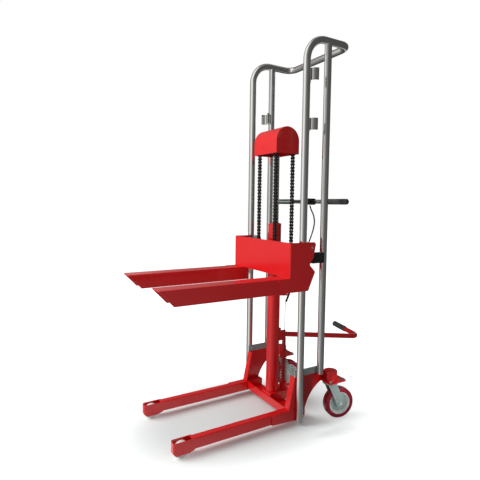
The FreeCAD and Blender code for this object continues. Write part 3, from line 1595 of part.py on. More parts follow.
def release():
    """The clamp on the handle bar and the squeeze lever in front of the bar."""
    z = get("handle_height")
    half = get("clamp_width") / 2
    middle = get("clamp_place")
    start = (middle - half, handle_y, z)
    ring = rod("clamp_ring", get("clamp_diameter"), start, get("clamp_width"), "X")
    eye_half = get("lever_eye_diameter") / 2
    lug_half = get("clamp_diameter") / 2
    lug = box(
        "clamp_lug",
        (middle - half, middle + half),
        (lever_pivot_y - eye_half, handle_y),
        (z - lug_half, z + lug_half),
    )
    slot_half = get("lever_thickness") / 2 + get("slide_gap")
    throat = handle_y - get("clamp_diameter") / 2
    slot = box(
        "clamp_slot",
        (middle - half - overrun, middle + half + overrun),
        (lever_pivot_y - eye_half - overrun, throat),
        (z - slot_half, z + slot_half),
    )
    bar_hole = rod(
        "clamp_hole",
        get("handle_diameter") + get("weld_gap"),
        (middle - half - overrun, handle_y, z),
        get("clamp_width") + overrun * 2,
        "X",
    )
    pin_start = (middle, lever_pivot_y, z - lug_half)
    pin_hole_width = get("lever_pin_diameter") + get("weld_gap")
    pin_hole = rod("clamp_pin_hole", pin_hole_width, pin_start, lug_half * 2)
    clamp = cut("clamp_body", fuse("clamp_blank", ring, lug), slot, bar_hole, pin_hole)
    pin = rod("clamp_pin", get("lever_pin_diameter"), pin_start, lug_half * 2)
    node("release_clamp", group("release_clamp", clamp, pin))
    end = get("lever_end_radius")
    eye = eye_half - get("slide_gap")
    tip_x = middle - get("lever_length")
    root = middle - half - eye
    outline = [
        (middle, lever_pivot_y + eye, eye, 1),
        (root, lever_pivot_y + eye / 2),
        (tip_x, lever_pivot_y - eye + end),
        (tip_x - end, lever_pivot_y - eye, end, 1),
        (tip_x, lever_pivot_y - eye - end, end, 1),
        (root, lever_pivot_y - eye),
        (middle, lever_pivot_y - eye),
        (middle + eye, lever_pivot_y, eye, 1),
    ]
    thickness = get("lever_thickness")
    bore = (middle, lever_pivot_y, get("lever_pin_diameter") + get("running_gap") * 2)
    node("release_lever", plate("release_lever", "XY_Plane", outline, z - thickness / 2, thickness, [bore]))


# Route of the release cable, from the clamp to its ferrule: (X, behind the front tubes, height)
CABLE_ROUTE = [
    (36, 197, 1049),
    (37, 199, 1026),
    (42, 206, 998),
    (48, 210, 956),
    (50, 204, 904),
    (49, 188, 848),
    (45, 165, 792),
    (41, 139, 738),
    (38, 114, 684),
    (37, 93, 640),
    (36, 80, 610),
]
RUN_SHARE = 0.45


def release_cable():
    """The cable from the release clamp to the ferrule, the ferrule and the bare wire below it."""
    points = [Vector(x, y + mast_y.value, z) for x, y, z in CABLE_ROUTE]
    radii = []
    for before, corner, after in zip(points, points[1:], points[2:]):
        shorter = min((corner - before).Length, (after - corner).Length)
        half_turn = (corner - before).getAngle(after - corner) / 2
        radii.append(RUN_SHARE * shorter / math.tan(half_turn))
    print("release_cable radii", [round(radius) for radius in radii])
    diameter = get("cable_diameter").value
    path = route(points, radii)
    tube = swept(path, diameter)
    print(f"release_cable length {path.Length:.0f} mm, volume share {volume_share(tube, path, diameter):.4f}")
    node("release_cable", feature("release_cable", tube))
    way = (points[-1] - points[-2]).normalize()
    top = points[-1]
    end = top + way * get("ferrule_length").value
    ferrule_width = get("ferrule_diameter").value
    ferrule = swept(Part.Wire(Part.LineSegment(top, end).toShape()), ferrule_width)
    bend = end + way * ferrule_width
    foot = Vector(bend.x, bend.y, pump_top.value)
    wire = swept(route([end, bend, foot], [ferrule_width]), get("wire_diameter").value)
    node("cable_ferrule", feature("cable_ferrule", Part.makeCompound([ferrule, wire])))
    middle = (top + end) * 0.5
    axis = Vector(0, mast_y.value, middle.z)
    stay_width = get("cable_stay_diameter").value
    stay = swept(Part.Wire(Part.LineSegment(axis, middle).toShape()), stay_width)
    sleeve = swept(Part.Wire(Part.LineSegment(top, end).toShape()), ferrule_width + get("weld_gap").value)
    cope_radius = get("cylinder_diameter").value / 2 + get("weld_gap").value
    cope = Part.makeCylinder(cope_radius, stay_width * 2, axis - Z_AXIS * stay_width)
    node("cable_stay", feature("cable_stay", stay.cut(cope).cut(sleeve)))


mast_hoop()
guard_clips()
tie_strips()
cross_beam()
roller_axles()
for side_name, side_sign in SIDES:
    rear_tube(side_name, side_sign)
    side_plate(side_name, side_sign)
    leg(side_name, side_sign)
    roller_housing(side_name, side_sign)
    front_roller(side_name, side_sign)
    caster_mount(side_name, side_sign)
    caster_fork(side_name, side_sign)
    caster_wheel(side_name, side_sign)
    pulley(side_name, side_sign)
    fork(side_name, side_sign)
lift_cylinder()
pump_block()
plunger()
pump_spring()
pedal()
pedal_bracket()
ram()
head()
chains()
carriage_frame()
cross_bar()
rear_anchor()
guide_rollers()
guide_axles()
guide_shoes()
handle()
release()
release_cable()
doc.recompute()

failed = [thing.Name for thing in doc.Objects if {"Invalid", "Error"} & set(thing.State)]
if failed:
    raise RuntimeError(f"objects that failed: {failed}")
for thing in nodes:
    if thing.Shape.isNull() or not thing.Shape.isValid():
        raise RuntimeError(f"bad shape: {thing.Label}")

os.makedirs("parts", exist_ok=True)
for thing in nodes:
    thing.Shape.exportStep(os.path.join("parts", thing.Label + ".step"))
print(f"wrote {len(nodes)} sub-parts")
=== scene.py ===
# %% [markdown]
# # Hand pallet stacker
# The CAD model gives every piece its place and size. This script adds what makes it look real: smooth
# chrome tubes, soft sheet edges, weld beads, bolts, chain links, and a finish for each material. It starts
# by loading that model as a fixed frame. Its nodes could be painted as they are, but their surfaces are
# loose triangles, so each one is copied and softened, or made anew as a smooth surface.

# %% load the frame
import json
import math

import bmesh
import bpy
import numpy as np
from mathutils import Matrix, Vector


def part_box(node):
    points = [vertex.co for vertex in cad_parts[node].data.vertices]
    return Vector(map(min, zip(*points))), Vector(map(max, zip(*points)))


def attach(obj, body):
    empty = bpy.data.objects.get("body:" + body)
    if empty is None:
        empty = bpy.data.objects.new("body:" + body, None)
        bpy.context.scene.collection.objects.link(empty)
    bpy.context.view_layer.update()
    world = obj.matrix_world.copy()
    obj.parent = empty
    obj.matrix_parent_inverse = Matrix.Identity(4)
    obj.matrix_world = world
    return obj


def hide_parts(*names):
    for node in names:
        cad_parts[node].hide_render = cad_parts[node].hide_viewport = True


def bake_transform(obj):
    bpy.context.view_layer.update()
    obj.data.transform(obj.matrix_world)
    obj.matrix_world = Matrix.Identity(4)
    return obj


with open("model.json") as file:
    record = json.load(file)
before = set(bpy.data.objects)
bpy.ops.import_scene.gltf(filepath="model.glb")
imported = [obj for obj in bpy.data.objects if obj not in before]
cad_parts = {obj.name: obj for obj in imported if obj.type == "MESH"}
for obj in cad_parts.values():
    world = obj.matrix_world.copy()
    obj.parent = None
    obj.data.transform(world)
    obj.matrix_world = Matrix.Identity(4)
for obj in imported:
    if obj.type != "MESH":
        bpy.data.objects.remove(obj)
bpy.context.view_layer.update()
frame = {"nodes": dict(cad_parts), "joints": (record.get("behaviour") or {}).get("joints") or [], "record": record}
MM = 0.001
behaviour = frame["record"]["behaviour"]
body_of = {node: body for body, nodes in behaviour["bodies"].items() for node in nodes}
slot_of = {part["node"]: part["material_slot"] for part in frame["record"]["subparts"]}
joint_of = {joint["name"]: joint for joint in frame["joints"]}

# %% [markdown]
# ## The camera
# The picture was taken from the front, beside the left fork, at about waist height. The camera's place, turn
# and lens were found by fitting the mast, legs and wheels. Its own axes are written as a matrix, because
# turns about three axes in a row are hard to check by eye.

# %% camera
CAMERA_PLACE = (1.7594, -1.1624, 1.0488)
TURN = math.radians(59.3175)
DOWN = math.radians(3.684)
ROLL = math.radians(0.7415)
LENS = 31.62
SENSOR = 36.0
SHIFT_UP = -0.0172


def added(name, data):
    """A new object with this data, at the origin, in the scene."""
    thing = bpy.data.objects.new(name, data)
    bpy.context.scene.collection.objects.link(thing)
    return thing


def set_axes(thing, right, up, back, place):
    """Places a camera or lamp, which looks against its back axis, by its three axes."""
    axes = np.eye(4)
    axes[:3] = np.column_stack([right, up, back, place])
    thing.matrix_world = Matrix(axes.tolist())


forward = np.array([-math.sin(TURN) * math.cos(DOWN), math.cos(TURN) * math.cos(DOWN), -math.sin(DOWN)])
level = np.array([math.cos(TURN), math.sin(TURN), 0.0])
upward = np.cross(level, forward)
camera_right = math.cos(ROLL) * level + math.sin(ROLL) * upward
camera_up = math.cos(ROLL) * upward - math.sin(ROLL) * level
camera = added("camera", bpy.data.cameras.new("camera"))
set_axes(camera, camera_right, camera_up, -forward, CAMERA_PLACE)
camera.data.lens = LENS
camera.data.sensor_width = SENSOR
camera.data.shift_y = SHIFT_UP
bpy.context.scene.camera = camera
print("camera at", CAMERA_PLACE)

# %% [markdown]
# ## Shader maths
# A finish mixes a few noises into colour, roughness and bump. Joining nodes by hand takes many lines, so a
# small class wraps a socket: sums and products of such values add their Math nodes by themselves. A second
# class holds a material's nodes, and one of its methods makes every other kind of node.

# %% values
class Value:
    """A socket of a finish. A sum, difference or product with it adds a Math node."""

    def __init__(self, finish, socket):
        self.finish = finish
        self.socket = socket

    def math(self, operation, first, second):
        return self.finish.node("ShaderNodeMath", {"operation": operation}, {0: first, 1: second})

    def __add__(self, other):
        return self.math("ADD", self, other)

    def __sub__(self, other):
        return self.math("SUBTRACT", self, other)

    def __rsub__(self, other):
        return self.math("SUBTRACT", other, self)

    def __mul__(self, other):
        return self.math("MULTIPLY", self, other)

    def most(self, other):
        return self.math("MAXIMUM", self, other)

    __radd__ = __add__
    __rmul__ = __mul__


print("values ready")

# %% finishes
class Finish:
    """A material, or the world, whose nodes are made one at a time."""

    def __init__(self, name, library=bpy.data.materials):
        self.owner = library.new(name)
        self.owner.use_nodes = True
        self.tree = self.owner.node_tree
        self.tree.nodes.clear()
        self.place = self.node("ShaderNodeTexCoord", output="Object")

    def node(self, kind, settings=None, sockets=None, output=0):
        """Makes a node, sets it, fills or links its sockets, and gives back one of its outputs."""
        made = self.tree.nodes.new(kind)
        for name, value in (settings or {}).items():
            setattr(made, name, value)
        for name, value in (sockets or {}).items():
            if isinstance(value, Value):
                self.tree.links.new(value.socket, made.inputs[name])
            else:
                made.inputs[name].default_value = value
        return Value(self, made.outputs[output] if made.outputs else None)

    def noise(self, scale, detail=2.0, stretch=(1.0, 1.0, 1.0)):
        """Soft random patches, scale to the metre, drawn out along an axis whose stretch is small."""
        place = self.node("ShaderNodeMapping", {}, {"Vector": self.place, "Scale": stretch})
        return self.node("ShaderNodeTexNoise", {}, {"Vector": place, "Scale": scale, "Detail": detail})

    def between(self, value, low, high):
        """0 below low, 1 above high, and a smooth rise between them."""
        sockets = {"Value": value, "From Min": low, "From Max": high}
        return self.node("ShaderNodeMapRange", {"interpolation_type": "SMOOTHSTEP"}, sockets)

    def mix(self, share, first, second):
        """A colour from first to second by share."""
        return self.node("ShaderNodeMix", {"data_type": "RGBA"}, {0: share, 6: first, 7: second}, output=2)

    def bump(self, height, depth):
        """A normal tilted by a height, depth in metres."""
        return self.node("ShaderNodeBump", {}, {"Height": height, "Distance": depth})

    def seen(self):
        """1 for rays from the camera, straight or by way of a mirror or glass, and 0 for all others."""
        camera_ray = self.node("ShaderNodeLightPath", output="Is Camera Ray")
        mirror_ray = self.node("ShaderNodeLightPath", output="Is Glossy Ray")
        glass_ray = self.node("ShaderNodeLightPath", output="Is Transmission Ray")
        return camera_ray.most(mirror_ray).most(glass_ray)

    def done(self, sockets):
        """Ends the finish in a Principled shader with these sockets."""
        shader = self.node("ShaderNodeBsdfPrincipled", {}, sockets)
        self.node("ShaderNodeOutputMaterial", {}, {"Surface": shader})
        return self.owner


print("finishes can be made")

# %% [markdown]
# ## Paint
# The frame, forks and cylinder wear sprayed red enamel. A single red looks like plastic, so the colour clouds
# a little, a fine bump stands for the skin of the spray, and rare scuffs are duller. A thin coat gives the
# gloss.

# %% red enamel
def red_enamel():
    """Clear red, 0.72 to 0.82, with a spray skin 2 mm across and scuffs of a few centimetres."""
    finish = Finish("red_enamel")
    cloud = finish.noise(scale=6.0)
    skin = finish.noise(scale=450.0, detail=1.0)
    scuff = finish.between(finish.noise(scale=38.0, detail=7.0), 0.62, 0.80)
    colour = finish.mix(cloud, (0.72, 0.003, 0.006, 1.0), (0.82, 0.005, 0.008, 1.0))
    colour = finish.mix(scuff * 0.3, colour, (0.45, 0.010, 0.012, 1.0))
    return finish.done({
        "Base Color": colour,
        "Roughness": 0.30 + 0.06 * cloud + 0.22 * scuff,
        "Coat Weight": 0.5 - 0.4 * scuff,
        "Coat Roughness": 0.1,
        "Specular IOR Level": 0.4,
        "Normal": finish.bump(skin, depth=0.03 * MM),
    })


FINISHES = {"red_paint": red_enamel()}
print("red enamel made")

# %% [markdown]
# ## Bright and dark metals
# Chrome is a mirror with a slight haze and drawing lines along the tube. Zinc shows pale and dark crystals.
# The chains are black and oily, the spring is red from the spray with pale patches that are painted highlights,
# and the castings are grainy. All are the same shader with other colours and noises, so one function takes those
# as its values.

# %% metals
def metal(name, dark, pale, grain, rough, depth, stretch=(1.0, 1.0, 1.0), metallic=1.0):
    """Metal from dark to pale by a grain, so many to the metre, and as rough as the two numbers say."""
    finish = Finish(name)
    patch = finish.between(finish.noise(grain, detail=3.0, stretch=stretch), 0.3, 0.7)
    smear = finish.noise(scale=11.0, detail=4.0)
    return finish.done({
        "Base Color": finish.mix(patch, (*dark, 1.0), (*pale, 1.0)),
        "Metallic": metallic,
        "Roughness": rough[0] + (rough[1] - rough[0]) * smear,
        "Normal": finish.bump(patch, depth),
    })


LENGTHWISE = (1.0, 1.0, 0.02)
FINISHES["chrome"] = metal(
    "chrome_plate", dark=(0.81, 0.80, 0.77), pale=(0.90, 0.89, 0.86),
    grain=300.0, rough=(0.06, 0.16), depth=0.0003 * MM, stretch=LENGTHWISE)
FINISHES["zinc"] = metal(
    "zinc_plate", dark=(0.37, 0.46, 0.44), pale=(0.48, 0.58, 0.56),
    grain=150.0, rough=(0.22, 0.38), depth=0.01 * MM, metallic=0.3)
FINISHES["black_steel"] = metal(
    "black_oiled_steel", dark=(0.012, 0.012, 0.012), pale=(0.09, 0.09, 0.085),
    grain=200.0, rough=(0.28, 0.5), depth=0.03 * MM, metallic=0.5)
# the spring's red is its spray colour; its pale patches are painted highlights, scattered by a noise
FINISHES["spring_steel"] = metal(
    "spring_wire", dark=(0.42, 0.04, 0.04), pale=(0.62, 0.22, 0.20),
    grain=300.0, rough=(0.2, 0.4), depth=0.02 * MM, metallic=0.4)
FINISHES["cast_iron"] = metal(
    "cast_iron", dark=(0.05, 0.05, 0.05), pale=(0.13, 0.13, 0.13),
    grain=350.0, rough=(0.45, 0.7), depth=0.12 * MM, metallic=0.4)
print("metals made:", sorted(FINISHES))

# %% [markdown]
# ## Plastics and tyres
# Nylon rollers are white with a grey bloom where they have run. The cable, the clamp and the guide shoes are
# black plastic, the grips and the pedal sleeve are greyer rubber. The tyres are a dark red that is cast, not
# sprayed, so it is duller than the enamel. Again one function serves them all.

# %% plastics
def plastic(name, colour, bloom, grain, rough, depth):
    """Moulded plastic: a colour with patches of bloom, and a grain that only tilts the light."""
    finish = Finish(name)
    patch = finish.between(finish.noise(scale=24.0, detail=5.0), 0.45, 0.75)
    fine = finish.noise(grain, detail=2.0)
    return finish.done({
        "Base Color": finish.mix(patch, (*colour, 1.0), (*bloom, 1.0)),
        "Roughness": rough[0] + (rough[1] - rough[0]) * patch,
        "Normal": finish.bump(fine, depth),
    })


FINISHES["white_nylon"] = plastic(
    "white_nylon", colour=(0.90, 0.90, 0.89), bloom=(0.78, 0.78, 0.76),
    grain=900.0, rough=(0.25, 0.45), depth=0.02 * MM)
FINISHES["black_plastic"] = plastic(
    "black_plastic", colour=(0.012, 0.012, 0.012), bloom=(0.03, 0.03, 0.03),
    grain=1200.0, rough=(0.3, 0.5), depth=0.03 * MM)
FINISHES["black_rubber"] = plastic(
    "black_rubber", colour=(0.070, 0.071, 0.067), bloom=(0.130, 0.131, 0.124),
    grain=800.0, rough=(0.45, 0.7), depth=0.05 * MM)
FINISHES["red_tyre"] = plastic(
    "red_tyre", colour=(0.30, 0.008, 0.024), bloom=(0.39, 0.022, 0.044),
    grain=600.0, rough=(0.20, 0.36), depth=0.04 * MM)
print("plastics made:", len(FINISHES), "finishes in all")

# %% [markdown]
# ## Surfaces on a grid
# A tube is a ring carried along a path, and a turned piece is a profile carried round an axis. Both are grids
# of points with four-sided faces, so numpy works them out at once. Rounded corners are arcs, as on a lathe or
# a bender.

# %% grids and arcs
def unit(vectors):
    """Vectors of length 1 in the same directions."""
    return vectors / np.linalg.norm(vectors, axis=-1, keepdims=True)


def grid_faces(rows, columns, round_rows, round_columns):
    """Faces between lines i, i + 1 and j, j + 1 of a grid. A round direction joins its last line to its
    first."""
    row = np.arange(rows if round_rows else rows - 1)[:, None]
    column = np.arange(columns if round_columns else columns - 1)[None, :]
    below = (row + 1) % rows * columns
    beside = (column + 1) % columns
    row = row * columns
    return np.stack([row + column, row + beside, below + beside, below + column], axis=-1).reshape(-1, 4)


def rounded(corners, radius, steps, closed=False):
    """Each corner becomes an arc. With half the corner's angle h, it begins r / tan h from the corner, about
    a centre r / sin h along the bisector. From a to b about that centre, its points are
    (sin((1 - k) f) a + sin(k f) b) / sin f, with f = pi - 2 h and k from 0 to 1."""
    corners = np.asarray(corners, float)
    before = unit(np.roll(corners, 1, axis=0) - corners)
    after = unit(np.roll(corners, -1, axis=0) - corners)
    half = np.arccos(np.clip(np.sum(before * after, axis=1), -1.0, 1.0)) / 2
    radius = np.broadcast_to(np.asarray(radius, float), half.shape)[:, None]
    half = half[:, None]
    centre = corners + unit(before + after) * radius / np.sin(half)
    start = (corners + before * radius / np.tan(half) - centre)[:, None]
    end = (corners + after * radius / np.tan(half) - centre)[:, None]
    turn = (math.pi - 2 * half)[:, None]
    share = np.linspace(0.0, 1.0, steps)[None, :, None]
    arcs = (np.sin((1 - share) * turn) * start + np.sin(share * turn) * end) / np.sin(turn) + centre[:, None]
    if closed:
        return arcs.reshape(-1, corners.shape[1])
    return np.concatenate([corners[:1], arcs[1:-1].reshape(-1, corners.shape[1]), corners[-1:]])


print("a rounded square has", len(rounded([(0, 0), (1, 0), (1, 1), (0, 1)], 0.1, 5, closed=True)), "points")

# %% tubes and turned pieces
SLANT = np.array([0.48, 0.36, 0.80])


def tube(path, radius, sides=40, edge=0.8 * MM):
    """A round bar: P(s, a) = C(s) + r(s) (cos a N + sin a B), with N square to the path and to a slanted
    vector, and B square to the path and N. Each end has a small edge and closes in a point."""
    path = np.asarray(path, float)
    way = unit(np.gradient(path, axis=0))
    across = unit(np.cross(way, SLANT))
    other = np.cross(way, across)
    count = len(path)
    at = np.r_[0, 0, np.arange(count), count - 1, count - 1]
    radius = np.broadcast_to(radius, count)
    reach = np.r_[0.0, radius[0] - edge, radius, radius[-1] - edge, 0.0]
    centre = path[at]
    centre[2] += way[0] * edge
    centre[-3] -= way[-1] * edge
    angle = np.arange(sides) * (2 * math.pi / sides)
    ring = across[at][:, None] * np.cos(angle)[:, None] + other[at][:, None] * np.sin(angle)[:, None]
    points = centre[:, None] + reach[:, None, None] * ring
    return points.reshape(-1, 3), grid_faces(len(at), sides, False, True)


def turned(profile, centre, axis, sides=64, closed=False):
    """A turned piece: P(u, a) = centre + x(u) axis + r(u) (cos a N + sin a B) for a profile of points (x, r),
    with N and B square to the axis and to each other."""
    profile = np.asarray(profile, float)
    axis = unit(np.asarray(axis, float))
    across = unit(np.cross(axis, SLANT))
    other = np.cross(axis, across)
    angle = np.arange(sides) * (2 * math.pi / sides)
    wheel = across * np.cos(angle)[:, None] + other * np.sin(angle)[:, None]
    points = np.asarray(centre) + profile[:, 0, None, None] * axis + profile[:, 1, None, None] * wheel
    return points.reshape(-1, 3), grid_faces(len(profile), sides, closed, True)


def joined(*surfaces):
    """Several surfaces as one: the face numbers of each move up by the points before it."""
    starts = np.cumsum([0] + [len(points) for points, _ in surfaces])
    points = np.concatenate([points for points, _ in surfaces])
    return points, np.concatenate([faces + start for (_, faces), start in zip(surfaces, starts)])


print("a straight tube has", len(tube([(0, 0, 0), (0, 0, 1)], 0.1)[1]), "faces")

# %% [markdown]
# ## Pieces
# A new surface becomes an object on the same body as the node that it stands for, with that node's finish. A
# sheet piece keeps its CAD shape: the node's mesh is copied, its triangles are merged into whole faces, and a
# narrow bevel catches the light as a folded or sawn edge does.

# %% clean meshes
MERGE = 0.002 * MM
SHARP = math.radians(32)
FLAT = math.radians(0.5)


def cleaned(mesh, flat=0.0):
    """Merges doubles. Then faces that are flat to within an angle become one, or, without that angle, all
    faces turn outwards."""
    shape = bmesh.new()
    shape.from_mesh(mesh)
    bmesh.ops.remove_doubles(shape, verts=shape.verts, dist=MERGE)
    bmesh.ops.dissolve_degenerate(shape, edges=shape.edges, dist=MERGE)
    if flat:
        bmesh.ops.dissolve_limit(shape, angle_limit=flat, verts=shape.verts, edges=shape.edges)
    else:
        bmesh.ops.recalc_face_normals(shape, faces=shape.faces)
    shape.to_mesh(mesh)
    shape.free()
    mesh.shade_smooth()
    mesh.set_sharp_from_angle(angle=SHARP)
    return mesh


def mesh_from(name, surface):
    """A clean mesh of a surface's points and faces."""
    mesh = bpy.data.meshes.new(name)
    mesh.from_pydata(surface[0].tolist(), [], surface[1].tolist())
    return cleaned(mesh)


print(f"doubles within {MERGE / MM:.3f} mm become one point")

# %% new and dressed pieces
BEVEL_STEPS = 2


def shown(name, mesh, body, slot, nodes=()):
    """Puts a mesh into the scene with its slot's finish, on a body, in place of its CAD nodes. A piece that rides
    on two bodies gets no body here."""
    thing = added(name, mesh)
    mesh.materials.clear()
    mesh.materials.append(FINISHES[slot])
    if body:
        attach(thing, body)
    if nodes:
        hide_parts(*nodes)
    return thing


def stand_in(node, surface):
    """A new surface in place of a CAD node."""
    return shown(f"{node}_smooth", mesh_from(node, surface), body_of[node], slot_of[node], [node])


def extra(name, surface, body, slot):
    """A new surface that no CAD node has, such as a bolt or a weld."""
    return shown(name, mesh_from(name, surface), body, slot)


def dressed(node, bevel):
    """A copy of a CAD node with whole faces and bevelled edges."""
    mesh = cleaned(frame["nodes"][node].data.copy(), flat=FLAT)
    piece = shown(f"{node}_dressed", mesh, body_of[node], slot_of[node], [node])
    edges = piece.modifiers.new("edges", "BEVEL")
    edges.width = bevel
    edges.segments = BEVEL_STEPS
    edges.limit_method = "ANGLE"
    edges.angle_limit = SHARP
    edges.harden_normals = True
    return piece


def box_of(node):
    """Lowest corner, highest corner and centre of a CAD node as arrays."""
    low, high = (np.array(corner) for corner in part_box(node))
    return low, high, (low + high) / 2


print("pieces can be made")

# %% [markdown]
# ## The mast
# The front uprights and the top rail are one chrome tube, bent four times, and two straight tubes stand
# behind it. The hoop could be a curve with a bevel. A ring carried along its own arcs gives the same tube
# with closed, softly edged ends, and its bends are true arcs.

# %% chrome tubes
SIDES = (("left", 1), ("right", -1))
TUBE = 17 * MM
HOOP_BEND = 105 * MM
HOOP_CORNER = 50 * MM
BEND_STEPS = 20
hoop_low, hoop_high, _ = box_of("mast_hoop")
upright_low, _, upright = box_of("rear_tube_left")
TUBE_X = upright[0]
REAR_Y = upright[1]
MAST_Y = joint_of["pulley_spin_left"]["pos_m"][1]
RAIL_Z = hoop_high[2] - TUBE
RAIL_Y = hoop_high[1] - TUBE
hoop_route = [
    (-TUBE_X, MAST_Y, hoop_low[2]),
    (-TUBE_X, MAST_Y, RAIL_Z),
    (-TUBE_X, RAIL_Y, RAIL_Z),
    (TUBE_X, RAIL_Y, RAIL_Z),
    (TUBE_X, MAST_Y, RAIL_Z),
    (TUBE_X, MAST_Y, hoop_low[2]),
]
hoop_radii = [HOOP_BEND, HOOP_BEND, HOOP_CORNER, HOOP_CORNER, HOOP_BEND, HOOP_BEND]
stand_in("mast_hoop", tube(rounded(hoop_route, hoop_radii, BEND_STEPS), TUBE, sides=64))
for name, side in SIDES:
    foot = (TUBE_X * side, REAR_Y, upright_low[2])
    head = (TUBE_X * side, REAR_Y, RAIL_Z)
    stand_in(f"rear_tube_{name}", tube([foot, head], TUBE, sides=64))
print(f"mast tubes {2 * TUBE / MM:.0f} mm across, rail {RAIL_Z:.3f} m high")

# %% [markdown]
# ## Sheet and machined pieces
# Folded plates, blocks and small machined pieces already have their shape in the CAD model, so each is
# dressed with a bevel that suits how it was made: wide on the pump's block and the pressed head cover, narrow
# on thin sheet and small pieces. The front axles end flush with their housings and were sprayed along with
# them.

# %% dressed nodes
BEVELS = {
    0.5 * MM: ("guard_clips", "handle_brackets", "cable_stay", "pedal_bracket", "guide_axles", "roller_axles",
               "release_clamp", "head_axle", "tie_strips"),
    0.8 * MM: ("carriage_frame", "cross_bar", "rear_anchor", "cross_beam", "head_block", "guide_shoes",
               "release_lever", "plunger"),
    1.2 * MM: ("head_cover", "pump_block"),
}
PAIRED_BEVELS = {
    0.6 * MM: ("roller_housing", "caster_fork", "pulley"),
    1.0 * MM: ("side_plate", "leg", "fork", "caster_mount"),
}
slot_of["roller_axles"] = "red_paint"
for bevel, nodes in BEVELS.items():
    for node in nodes:
        dressed(node, bevel)
for bevel, nodes in PAIRED_BEVELS.items():
    for node in nodes:
        for name, _ in SIDES:
            dressed(f"{node}_{name}", bevel)

# %% [markdown]
# ## Front rollers and casters
# Wheels are turned on a lathe or moulded round a centre, so a profile carried round the axle is the natural
# way. Half a profile is written in millimetres, along the axle and out from it, and mirrored. The casters'
# centres are dished, and a white ring stands in each dish inside the tyre. The axle's place and direction
# come from the joint that the wheel turns on.

# %% profiles of wheels
def axle_of(name):
    """Place and direction of a joint's axis."""
    joint = joint_of[name]
    return np.array(joint["pos_m"]), np.array(joint["axis"], float)


def mirrored(half):
    """A closed profile from its half at x above 0: the same points follow with x turned round, in reverse."""
    half = np.asarray(half, float)
    return np.concatenate([half, half[::-1] * (-1.0, 1.0)])


def wheel_profile(half, rounds, steps):
    """A closed profile in metres from its half in millimetres, each corner rounded by its own radius."""
    rounds = np.asarray(rounds, float)
    return rounded(mirrored(half) * MM, np.r_[rounds, rounds[::-1]] * MM, steps, closed=True)


ROLLER_HALF = [
    (14.0, 6.05), (14.0, 13.0), (12.5, 14.5), (12.5, 25.0), (14.0, 26.5), (14.0, 30.0), (11.0, 33.0)]
ROLLER_ROUNDS = [0.6] * len(ROLLER_HALF)
CENTRE_HALF = [(22.7, 6.05), (22.7, 13.0), (9.0, 25.0), (6.0, 45.0), (15.0, 52.5), (15.0, 55.0)]
CENTRE_ROUNDS = [0.4, 2.0, 5.0, 5.0, 2.0, 1.0]
TYRE_HALF = [(20.0, 55.0), (20.0, 76.0)]
TYRE_ROUNDS = [0.5, 9.0]
RING_SIDE = [(5.0, 45.5), (7.5, 45.5), (19.3, 53.6), (19.3, 56.0), (5.0, 56.0)]
RING_ROUND = 0.5 * MM
roller_profile = wheel_profile(ROLLER_HALF, ROLLER_ROUNDS, 4)
centre_profile = wheel_profile(CENTRE_HALF, CENTRE_ROUNDS, 6)
tyre_profile = wheel_profile(TYRE_HALF, TYRE_ROUNDS, 10)
ring_profile = rounded(np.array(RING_SIDE) * MM, RING_ROUND, 4, closed=True)
print("profiles of", len(roller_profile), len(centre_profile), len(tyre_profile), len(ring_profile), "points")

# %% rollers, wheel centres, tyres and rings
for name, _ in SIDES:
    place, axis = axle_of(f"front_roll_{name}")
    stand_in(f"front_roller_{name}", turned(roller_profile, place, axis, sides=96, closed=True))
    place, axis = axle_of(f"caster_roll_{name}")
    stand_in(f"caster_hub_{name}", turned(centre_profile, place, axis, sides=96, closed=True))
    stand_in(f"caster_tyre_{name}", turned(tyre_profile, place, axis, sides=128, closed=True))
    rings = [turned(ring_profile, place, axis * way, sides=128, closed=True) for way in (1, -1)]
    extra(f"wheel_rings_{name}", joined(*rings), f"caster_wheel_{name}", "white_nylon")
print("front rollers, wheel centres, tyres and rings turned")

# %% [markdown]
# ## Guide rollers
# The carriage runs on the front tubes with grooved rollers. Their groove is part of a circle a little larger
# than the tube: r(x) = waist + g - sqrt(g^2 - x^2).

# %% guide rollers
SLIDE_GAP = 0.3 * MM
GUIDE_HALF = 12 * MM
GUIDE_WAIST = 20 * MM
GUIDE_BORE = 6.05 * MM
GROOVE = TUBE + SLIDE_GAP
across = np.linspace(-GUIDE_HALF, GUIDE_HALF, 17)
groove = np.column_stack([across, GUIDE_WAIST + GROOVE - np.sqrt(GROOVE ** 2 - across ** 2)])
guide_bore = [(GUIDE_HALF, GUIDE_BORE), (-GUIDE_HALF, GUIDE_BORE)]
guide_profile = np.concatenate([groove, guide_bore])
for height in ("upper", "lower"):
    for name, _ in SIDES:
        place, axis = axle_of(f"guide_spin_{height}_{name}")
        stand_in(f"guide_roller_{height}_{name}", turned(guide_profile, place, axis, sides=72, closed=True))
print(f"guide rollers {2 * GUIDE_WAIST / MM:.0f} mm across at the waist")

# %% [markdown]
# ## Cylinder and ram
# A painted cylinder with a turned gland at its top, and a chrome ram in it. Both are profiles round the
# mast's middle line. The cylinder's profile goes up the outside, over the rim and down the bore, so that the
# ram has its room, and a notch marks the gland's foot. A black wiper seal lies on the rim. Its profile is
# written in millimetres, up from the rim and out from the ram.

